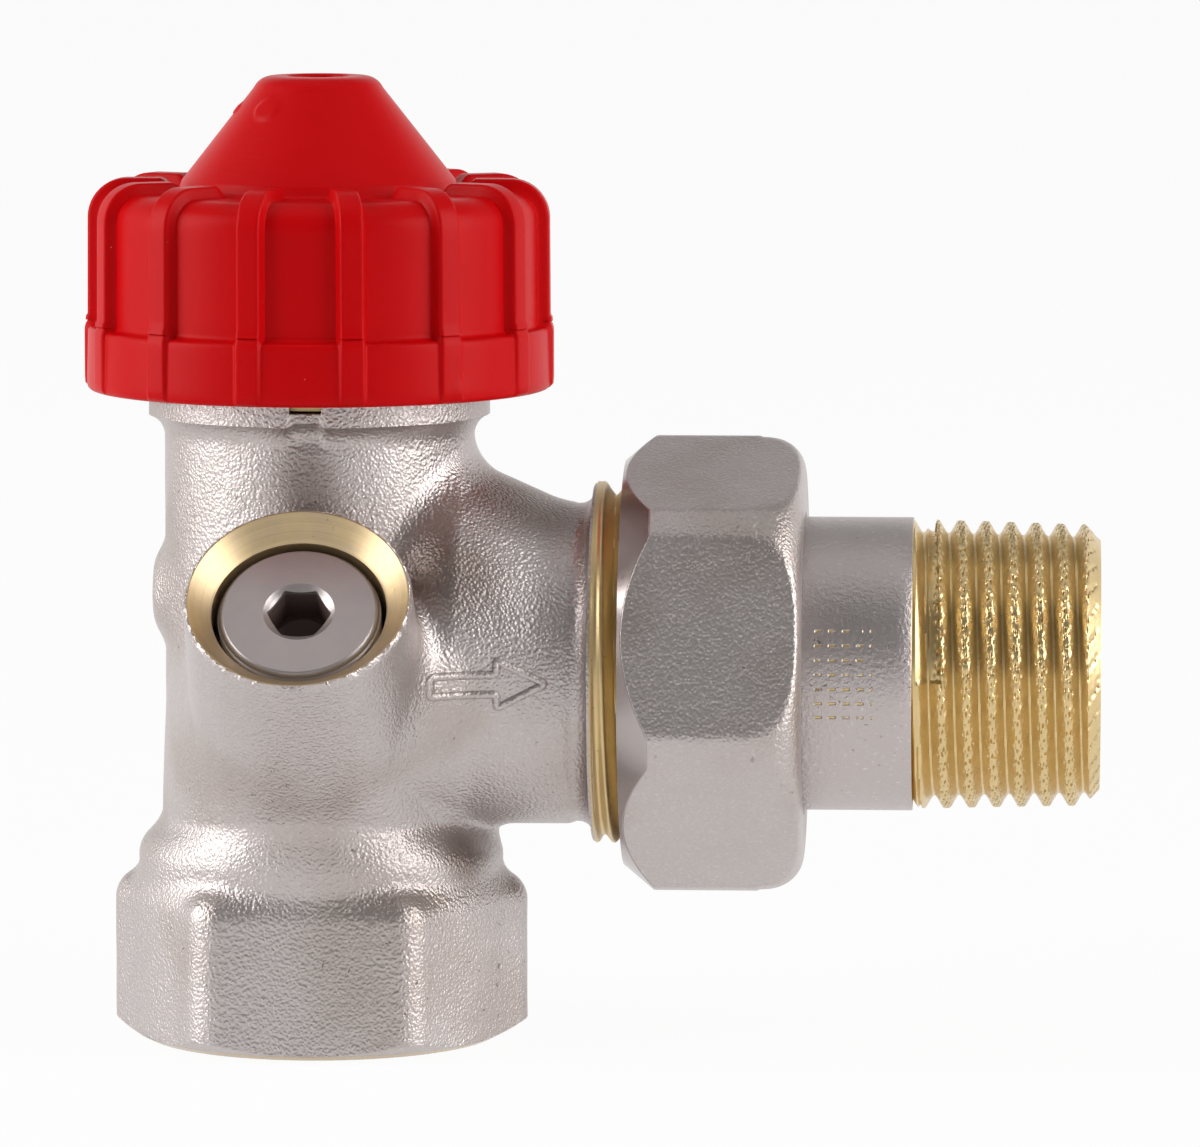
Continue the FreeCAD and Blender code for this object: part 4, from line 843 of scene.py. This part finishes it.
class VALVE_OT_cap(bpy.types.Operator):
    """Makes the hand cap: lip, skirt, ribbed wall, rounded deck and cone, with a thread inside"""

    bl_idname = "valve.cap"
    bl_label = "Cap"

    def execute(self, context):
        size = Millimetres(context.scene.valve_cap)
        ribs = context.scene.valve_cap.ribs
        base, top = size.base, size.top
        lip, skirt, wall = size.lip_radius, size.skirt_radius, size.wall_radius
        shoulder, cone_foot, deck, thread_radius = 2.0, 10.3, 62.0, 15.2
        sections = [
            [(0, top - 2.0), (2.2, top - 2.0)],
            along([(2.2, top - 2.0), (2.2, top - 0.12), (2.32, top)], 0.4)[1:],
            [(2.9, top)] + arc((3.35, top - 1.5), 1.5, 90, 38, 8),
            along([(4.62, top - 0.75), (cone_foot - 0.35, deck + 0.75)], 0.22)[1:],
            arc((cone_foot + 0.32, deck + 0.62), 0.62, 218, 270, 5),
            along([(cone_foot + 0.4, deck), (wall - shoulder, deck)], 0.28)[1:],
            arc((wall - shoulder, deck - shoulder), shoulder, 86, 0, 12),
            along([(wall, 59.9), (wall + 0.05, 52.5)], 0.55)[1:],
            arc((wall + 0.45, 52.55), 0.4, 180, 250, 4),
            arc((skirt - 0.4, 51.75), 0.4, 80, 0, 5),
            along([(skirt, 51.7), (lip, 48.4)], 0.3)[1:],
            [(lip, 47.95), (lip - 0.06, 47.75), (lip - 0.2, base + 0.02), (lip - 0.25, base), (16.0, base)],
            [(15.45, base + 0.1), (thread_radius, base + 0.4)],
        ]
        profile = np.vstack(sections)
        radius, height = profile.T

        # angles of the points: across a rib they keep their distance from its middle at every radius
        half, pitch_angle = size.rib_width / 2, FULL_TURN / ribs
        near = RIB_PLACES * half
        rib_part = np.concatenate([-near[:0:-1], near])
        rib_angle = np.arcsin(rib_part / np.maximum(radius, cone_foot + 0.3)[:, None])
        edge = rib_angle[:, -1:]
        sector = np.hstack([rib_angle, edge + (pitch_angle - 2 * edge) * GAP_PLACES])
        angles = np.hstack([sector + k * pitch_angle for k in range(ribs)]).T
        mask = 1 - smoothstep(0.74 * half, 1.08 * half, np.abs(rib_part))
        mask = np.tile(np.concatenate([mask, 0 * GAP_PLACES]), ribs)[:, None]

        # ribs: the profile pushed out along its own normal
        slope = np.gradient(profile, axis=0)
        normal = np.stack([-slope[:, 1], slope[:, 0]], -1)
        normal /= np.linalg.norm(normal, axis=1, keepdims=True)
        on_deck = smoothstep(cone_foot + 0.35, cone_foot + 1.25, radius) ** 0.6
        on_skirt = np.clip(wall + size.rib_height + 0.28 - radius, 0, 1)
        on_skirt = np.where(height < 52.6, on_skirt, size.rib_height)
        lift = on_deck * on_skirt * smoothstep(47.65, 48.05, height) * (radius > cone_foot)
        points_r = radius + mask * (lift * normal[:, 0])
        points_z = height + mask * (lift * normal[:, 1])
        # marks left by the mould: two low buttons on the cone and the gate on the skirt
        for where, level, width, tall, proud in MOULD_MARKS:
            aside = (np.angle(np.exp(1j * (angles - math.radians(where)))) * points_r) / width
            button = smoothstep(1.0, 0.7, np.hypot(aside, (points_z - level) / tall)) * (radius > 3.5)
            points_r = points_r + proud * button

        thread_z, inner = np.arange(base + 0.6, 57.6, 0.16), angles[:, -1:]
        inner_r = thread_radius - 0.8 * thread_depth(thread_z / 1.5 - inner / FULL_TURN + 0.5, 0.1)
        inner_r = np.maximum(inner_r, thread_radius - (thread_z - base - 0.4) * 1.2)
        turn = np.hstack([angles, np.repeat(inner, len(thread_z) + len(CAP_CEILING), axis=1)])
        parts = [(points_r, points_z), (inner_r, thread_z), np.transpose(CAP_CEILING)]
        cap = sweep("hand_cap", parts, turn, "valve", 50.0, closed=False)
        paint(cap, moulded_red(context.scene.valve_colours))
        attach(cap, "cap")
        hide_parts("protective_cap")
        return {"FINISHED"}


class VALVE_OT_return_spring(bpy.types.Operator):
    """Makes the return spring: a round wire wound on a helix"""

    bl_idname = "valve.return_spring"
    bl_label = "Return Spring"

    def execute(self, context):
        floor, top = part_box("return_spring")
        wire, windings = 0.4, 4
        share = np.linspace(0, 1, windings * 40 + 1)
        share = np.concatenate([[0], share, [1]])[:, None]
        thick = np.full(share.shape, wire)
        thick[[0, -1]] = 0.0
        ring = around(14).T
        radius = top[0] / MM - wire + thick * np.cos(ring)
        low, high = floor[2] / MM + wire, top[2] / MM - wire
        height = low + (high - low) * share + thick * np.sin(ring)
        points = on_axis(radius, FULL_TURN * windings * share, height, "valve")
        faces = grid_faces(*radius.shape, wrap_rows=False, wrap_columns=True)
        spring = finish_mesh("return_spring_coil", points.reshape(-1, 3), faces, 60.0)
        paint(spring, bright_steel(context.scene.valve_colours))
        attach(spring, "barrel")
        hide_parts("return_spring")
        stroke = next(j["range_m"][1] for j in frame["joints"] if j["name"] == "pin_stroke")
        kept = 1 - stroke / (top[2] - floor[2])
        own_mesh(spring)
        return {"FINISHED"}


# Finishes


def paint(thing, material):
    """Gives an object one material, on the object when its mesh is part of the frame."""
    if not thing.material_slots:
        thing.data.materials.append(material)
    for slot in thing.material_slots:
        slot.link = "OBJECT"
        slot.material = material


# places darkened brown as painted shade, each with its reach: the root's slope, the hollows beside the
# boss and under the branch, and the crease above the boss
SHADED_HOLLOWS = (
    ((16.0, -4.0, 40.0), 6.5),
    ((10.5, -10.5, 34.5), 5.0),
    ((11.5, -7.5, 14.2), 3.6),
    ((0.0, -12.5, 41.8), 3.6),
)
FOOT_FACE = 12.95  # radius where the foot's turned chamfer starts
FOOT_CHAMFER = 0.5366  # its rise for each millimetre outwards
# brown of the painted shade in the hollows
SHADE_BROWN = (0.20, 0.145, 0.12)
STAIN = (0.36, 0.28, 0.23)
PIT = (0.10, 0.07, 0.06)


def blasted_nickel(name, colours, machined=False, turned_from=None):
    """Nickel plating on a shot-blasted forging: a fine pebbled grain with painted highlights on its peaks,
    faint stains and dark pits, and, where asked, painted brown shade in the hollows, bare brass on the foot's
    turned chamfer, and smooth plating on a turned face, its tint darkened as painted shade."""
    g = Finish(name)
    fine = g.noise(3.6, 3.0, 0.6)
    pebbles = g.node("ShaderNodeTexVoronoi", {"feature": "SMOOTH_F1"}, {"Vector": g.place, "Scale": 4.6})[0]
    broad = g.noise(0.22, 3.0, 0.6)
    stain = g.noise(0.09)
    glint = (fine * 0.7 + (1 - pebbles) * 0.4).between(0.55, 0.95)
    pit = (0.335 - g.noise(1.3, 4.0, 0.7)).between(0.0, 0.03) * stain.between(0.40, 0.62)
    base = g.mix(broad.between(0.35, 0.7) * 0.35, colours.nickel, tint(colours.nickel, 0.93))
    base = g.mix(stain.between(0.46, 0.66) * 0.35, base, STAIN)
    # painted highlight: the grain's peaks lightened towards the glint colour
    base = g.mix(glint * 0.3, base, colours.nickel_painted_glint)
    base = g.mix(pit * 0.8, base, PIT)
    rough = 0.36 - glint * 0.08 + broad * 0.06
    height = (1 - pebbles) + fine * 0.7 - pit * 0.6
    depth = 0.1
    if machined:
        shade = 0.0
        # painted shade: brown darkening round the hollows and on the root's slope
        for (x, y, z), reach in SHADED_HOLLOWS:
            away = g.root(g.root(g.x - x, g.y - y), g.z - z)
            shade = (1 - away.between(0.25 * reach, reach)).maximum(shade)
        base = g.mix(shade * (0.45 + fine * 0.5), base, SHADE_BROWN)
        cut = g.z - (g.root(g.x, g.y) - FOOT_FACE) * FOOT_CHAMFER
        ragged = g.noise(1.1, 2.0, 0.6) * 0.10
        bare = (ragged - cut).between(0.0, 0.02).maximum((0.03 - cut).between(0.0, 0.02))
        bare = bare * (0.32 + ragged * 2 - g.z).between(0.0, 0.1)
        base = g.mix(bare, base, colours.pale_brass)
        rough, height = rough - bare * 0.14, height * (1 - bare)
    if turned_from is not None:
        cone = CHAMFER_FOOT + (g.x - turned_from) * 0.841
        smooth = (g.root(g.y, g.z - OUTLET_HEIGHT) - cone).between(-0.09, -0.03)
        # the turned face's smoother plating is real; its darker tint is painted shade
        base = g.mix(smooth, base, tint(colours.nickel, 0.85))
        rough, height, depth = rough - smooth * 0.16, height * (1 - smooth), 0.08
    return g.shade(base, rough, 0.88, g.bump(height, 0.75, depth))


def ring_lines(g, axis, scale):
    """Lines left by turning: noise read only from the distance to the axis and the distance along it."""
    if axis == "valve":
        r, t = g.root(g.x, g.y), g.z
    elif axis == "outlet":
        r, t = g.root(g.y, g.z - OUTLET_HEIGHT), g.x
    else:
        across = (g.z - PORT_HEIGHT + g.y) * SLANT
        r, t = g.root(g.x, across), (g.z - PORT_HEIGHT - g.y) * SLANT
    place = g.node("ShaderNodeCombineXYZ", {}, {0: r, 1: t, 2: 0.0})[0]
    return g.noise(scale, 2.0, 0.6, vector=place), r, t


def turned_brass(name, colours, axis):
    """Machined brass: turning lines round its axis, small stains and a little unevenness of colour."""
    g = Finish(name)
    lines = ring_lines(g, axis, 5.0)[0]
    cloud = g.noise(0.6, 3.0, 0.6).between(0.35, 0.7)
    specks = g.noise(2.2, 3.0, 0.65).between(0.66, 0.74)
    metal = colours.pale_brass if axis == "port" else colours.brass
    base = g.mix(cloud * 0.6, metal, tint(colours.brass, 0.86))
    base = g.mix(lines.between(0.3, 0.7) * 0.35, base, (0.74, 0.58, 0.32))
    base = g.mix(specks * 0.5, base, (0.30, 0.18, 0.06))
    return g.shade(base, 0.34 + lines * 0.08, 0.85, g.bump(lines, 0.35, 0.04))


def tail_finish(colours, shoulder):
    """Nickel on the plain sleeve and bare brass past its shoulder, with a small grid of brass dents."""
    g = Finish("tail_nickel_and_brass")
    fine = g.noise(2.9, 3.0, 0.6)
    up = g.z - OUTLET_HEIGHT
    band = (up - 1.0) * (up - 1.0)
    worn = (1 - (band / 9.0).between(0.0, 1.0)) * 0.05
    pit = (0.33 + worn - g.noise(1.9, 4.0, 0.75)).between(0.0, 0.03)
    glint = fine.between(0.58, 0.78)
    # painted highlight: the grain's peaks lightened towards the glint colour
    nickel = g.mix(glint * 0.4, colours.nickel, colours.nickel_painted_glint)
    nickel = g.mix(pit * 0.75, nickel, (0.12, 0.09, 0.08))
    # dents struck through the plating: rows round the sleeve and columns along it, in a window at the front
    round_sleeve = g.math("ARCTAN2", up, 0 - g.y) * 10.7
    struck = g.noise(0.9).between(0.36, 0.5)
    for place, start, spacing, half in ((g.x, 36.2, 1.0, 0.30), (round_sleeve, -20.0, 1.05, 0.13)):
        within = g.math("FRACT", (place - start) / spacing)
        struck = struck * (half - g.math("ABSOLUTE", within - 0.5)).between(0.0, 0.08)
    struck = struck * (g.x > 36.25) * (g.x < 40.6) * (round_sleeve > -3.4) * (round_sleeve < 4.0)
    nickel = g.mix(struck, nickel, colours.brass)
    lines, r, _ = ring_lines(g, "outlet", 4.0)
    cloud = g.noise(0.5, 3.0, 0.6).between(0.35, 0.7)
    brass = g.mix(cloud * 0.6, colours.brass, tint(colours.brass, 1.12))
    brass = g.mix(lines.between(0.35, 0.7) * 0.3, brass, (0.78, 0.60, 0.30))
    bare = (g.x > shoulder) * (r > 8.2)
    base = g.mix(bare, nickel, brass)
    height = (fine * 0.6 - pit * 0.5 - struck * 0.8) * (1 - bare) + lines * 0.12 * bare
    return g.shade(base, 0.38 - bare * 0.08 - glint * 0.06, 0.88, g.bump(height, 0.7, 0.2))


def spindle_finish(colours):
    """Smooth nickel on the spindle: turning lines on its face and a socket darkened as painted shade."""
    g = Finish("spindle_nickel")
    lines, r, t = ring_lines(g, "port", 6.0)
    cloud = g.noise(0.5, 3.0, 0.55).between(0.35, 0.7)
    base = g.mix(cloud * 0.3, tint(colours.nickel, 0.94), (0.42, 0.38, 0.40))
    # painted shade: the hexagon socket darkened to a near-black brown
    deep = (25.1 - t).between(0.0, 0.3) * (r < 2.4)
    base = g.mix(deep * 0.85, base, (0.075, 0.030, 0.018))
    normal = g.bump(lines + g.noise(3.0) * 0.3, 0.25, 0.05)
    return g.shade(base, 0.34 + deep * 0.15, 0.75 - deep * 0.5, normal)


def moulded_red(colours):
    """Glossy moulded plastic: a fine eggshell skin, faint flow lines round the cone and a few dust specks."""
    g = Finish("moulded_red")
    skin = g.noise(3.4)
    lines = ring_lines(g, "valve", 3.2)[0] * (g.z - 62.6).between(0.0, 0.8)
    specks = g.noise(2.1).between(0.795, 0.815)
    base = g.mix(g.noise(0.15).between(0.35, 0.7) * 0.25, colours.red, tint(colours.red, 0.86))
    base = g.mix(specks * 0.5, base, (0.85, 0.45, 0.42))
    normal = g.bump(skin * 0.55 + lines * 0.7, 0.22, 0.07)
    return g.shade(base, 0.34 + skin * 0.06, 0.0, normal, specular=0.1)


def plain_brass(colours):
    """Turned brass of the housing and the inner parts."""
    return turned_brass("housing_brass", colours, "valve")


def moulded_white(colours):
    """White plastic with a fine skin."""
    g = Finish("moulded_white")
    base = g.mix(g.noise(0.4, 3.0, 0.6).between(0.3, 0.7) * 0.3, colours.white, tint(colours.white, 0.9))
    return g.shade(base, 0.42, 0.0, g.bump(g.noise(3.0), 0.2, 0.05))


def soft_rubber(colours):
    """Black rubber with a matt skin."""
    g = Finish("seal_rubber")
    base = g.mix(g.noise(1.2, 3.0, 0.6) * 0.6, colours.rubber, tint(colours.rubber, 1.8))
    return g.shade(base, 0.55, 0.0, g.bump(g.noise(4.0, 2.0, 0.6), 0.25, 0.05))


def bright_steel(colours):
    """Ground steel of the pin, the spring and the clips."""
    g = Finish("pin_steel")
    lines = ring_lines(g, "valve", 7.0)[0]
    base = g.mix(lines.between(0.3, 0.7) * 0.4, (0.62, 0.62, 0.63), (0.50, 0.50, 0.51))
    return g.shade(base, 0.26 + lines * 0.1, 0.95, g.bump(lines, 0.2, 0.03))


def wool_felt(colours):
    """Grey felt with loose fibres."""
    g = Finish("ring_felt")
    fibres = g.noise(5.0, 4.0, 0.7, distortion=1.5)
    base = g.mix(fibres, tint(colours.felt, 0.6), colours.felt)
    return g.shade(base, 0.95, 0.0, g.bump(fibres, 0.8, 0.12))


INNER_FINISHES = (
    (plain_brass, "insert_housing gland_nut disc_carrier disc_nut"),
    (moulded_white, "presetting_barrel cap_thrust_pad spindle_backup_ring"),
    (bright_steel, "operating_pin spring_plate pin_clip nut_slip_washer"),
    (soft_rubber, "tailpiece_o_ring insert_o_ring barrel_o_ring gland_o_ring disc_seal spindle_o_ring"),
    (wool_felt, "dust_ring"),
)


class VALVE_OT_inner_finishes(bpy.types.Operator):
    """Gives the housing, barrel, pin, disc and seals their finishes"""

    bl_idname = "valve.inner_finishes"
    bl_label = "Inner Finishes"

    def execute(self, context):
        for finish, names in INNER_FINISHES:
            material = finish(context.scene.valve_colours)
            for name in names.split():
                paint(frame["nodes"][name], material)
        return {"FINISHED"}


# Studio

WHITE = (1.0, 1.0, 1.0, 1.0)
LENS = 251.4
CAMERA_PLACE = (0.0518, -0.6074, 0.1030)
CAMERA_TURN = math.radians(2.95)
CAMERA_PITCH = math.radians(-6.473)
MIDDLE = (0.02, 0.0, 0.035)  # of the valve, where the lamps point
FLOOR_HALF = 4.0
FLOOR_LEVEL = -0.0002
# name, place, width and height, power
LAMPS = (
    ("left_soft_box", (-0.68, -0.17, 0.24), (0.5, 0.8), 5.2),
    ("right_soft_box", (0.72, -0.20, 0.22), (0.5, 0.8), 5.0),
    ("top_soft_box", (0.0, -0.05, 0.75), (0.9, 0.6), 0.7),
)


def soft_box(name, place, size, power):
    """Adds a rectangular lamp that points at the middle of the valve."""
    light = bpy.data.lights.new(name, "AREA")
    light.shape = "RECTANGLE"
    light.size, light.size_y = size
    light.energy = power
    lamp = bpy.data.objects.new(name, light)
    lamp.location = place
    lamp.rotation_euler = (Vector(MIDDLE) - Vector(place)).to_track_quat("-Z", "Y").to_euler()
    bpy.context.scene.collection.objects.link(lamp)


def backdrop_world():
    """White wherever the camera looks past the object. Polished metal sees it too, darker on the camera's
    side and overhead, and everything else gets a faint even fill."""
    g = Graph(bpy.data.worlds.new("studio_world"), "ShaderNodeOutputWorld")
    _, back, up = g.node("ShaderNodeSeparateXYZ", {}, {0: g.read("ShaderNodeTexCoord", "Generated")})

    def glow(strength):
        return g.node("ShaderNodeBackground", {}, {0: WHITE, 1: strength})[0]

    mirrored = back.between(-0.95, 0.1, 0.22, 1.0) * up.between(0.25, 0.8, 1.0, 0.3)
    around_object = g.blend(g.rays("Glossy"), glow(0.15), glow(mirrored))
    return g.end(g.blend(g.rays("Camera", "Transmission"), around_object, glow(1.0)))


def floor_finish(colours):
    """Pale floor that reads white to the camera and to metal, and still takes the object's shadow."""
    g = Finish("studio_floor")
    inputs = {"Base Color": opaque(colours.floor), "Roughness": 0.8, "Specular IOR Level": 0.0}
    lit = g.node("ShaderNodeBsdfPrincipled", {}, inputs)[0]
    glow = g.node("ShaderNodeEmission", {}, {})[0]
    return g.end(g.blend(g.rays("Camera", "Transmission", "Glossy") * 0.95, lit, glow))


class VALVE_OT_studio(bpy.types.Operator):
    """Sets the pale floor, the soft lights, the white surroundings and the camera"""

    bl_idname = "valve.studio"
    bl_label = "Studio"

    def execute(self, context):
        scene = context.scene
        scene.view_settings.view_transform = "Standard"
        scene.world = backdrop_world()
        square = ((-1, -1), (1, -1), (1, 1), (-1, 1))
        corners = [(x * FLOOR_HALF, y * FLOOR_HALF, FLOOR_LEVEL) for x, y in square]
        mesh = bpy.data.meshes.new("studio_floor")
        mesh.from_pydata(corners, [], [(0, 1, 2, 3)])
        floor = bpy.data.objects.new("studio_floor", mesh)
        scene.collection.objects.link(floor)
        paint(floor, floor_finish(scene.valve_colours))
        for lamp in LAMPS:
            soft_box(*lamp)
        lens = bpy.data.cameras.new("studio_camera")
        lens.lens = LENS
        lens.sensor_width = 36.0
        lens.clip_start = 0.02
        camera = bpy.data.objects.new("studio_camera", lens)
        camera.location = CAMERA_PLACE
        level = math.cos(CAMERA_PITCH)
        ahead = (-math.sin(CAMERA_TURN) * level, math.cos(CAMERA_TURN) * level, math.sin(CAMERA_PITCH))
        camera.rotation_euler = Vector(ahead).to_track_quat("-Z", "Y").to_euler()
        scene.collection.objects.link(camera)
        scene.camera = camera
        return {"FINISHED"}


# Add-on

PIECES = (
    VALVE_OT_forged_body,
    VALVE_OT_machined_faces,
    VALVE_OT_flow_arrow,
    VALVE_OT_union_nut,
    VALVE_OT_tailpiece,
    VALVE_OT_regulating_spindle,
    VALVE_OT_cap,
    VALVE_OT_return_spring,
    VALVE_OT_inner_finishes,
    VALVE_OT_studio,
)
GROUPS = (
    ("valve_forging", ForgingSizes),
    ("valve_union", UnionSizes),
    ("valve_cap", CapSizes),
    ("valve_colours", FinishColours),
)


class VALVE_PT_panel(bpy.types.Panel):
    """Lists the pieces of the valve with their sizes and colours"""

    bl_label = "Valve"
    bl_idname = "VALVE_PT_panel"
    bl_space_type = "VIEW_3D"
    bl_region_type = "UI"
    bl_category = "Valve"

    def draw(self, context):
        for piece in PIECES:
            self.layout.operator(piece.bl_idname)
        for name, group in GROUPS:
            box = self.layout.box()
            for key in group.__annotations__:
                box.prop(getattr(context.scene, name), key)


def register():
    for name, group in GROUPS:
        bpy.utils.register_class(group)
        setattr(bpy.types.Scene, name, PointerProperty(type=group))
    for item in (*PIECES, VALVE_PT_panel):
        bpy.utils.register_class(item)


def unregister():
    for item in (VALVE_PT_panel, *reversed(PIECES)):
        bpy.utils.unregister_class(item)
    for name, group in reversed(GROUPS):
        delattr(bpy.types.Scene, name)
        bpy.utils.unregister_class(group)


def main():
    register()
    for piece in PIECES:
        family, name = piece.bl_idname.split(".")
        getattr(getattr(bpy.ops, family), name)()


if __name__ == "__main__":
    main()
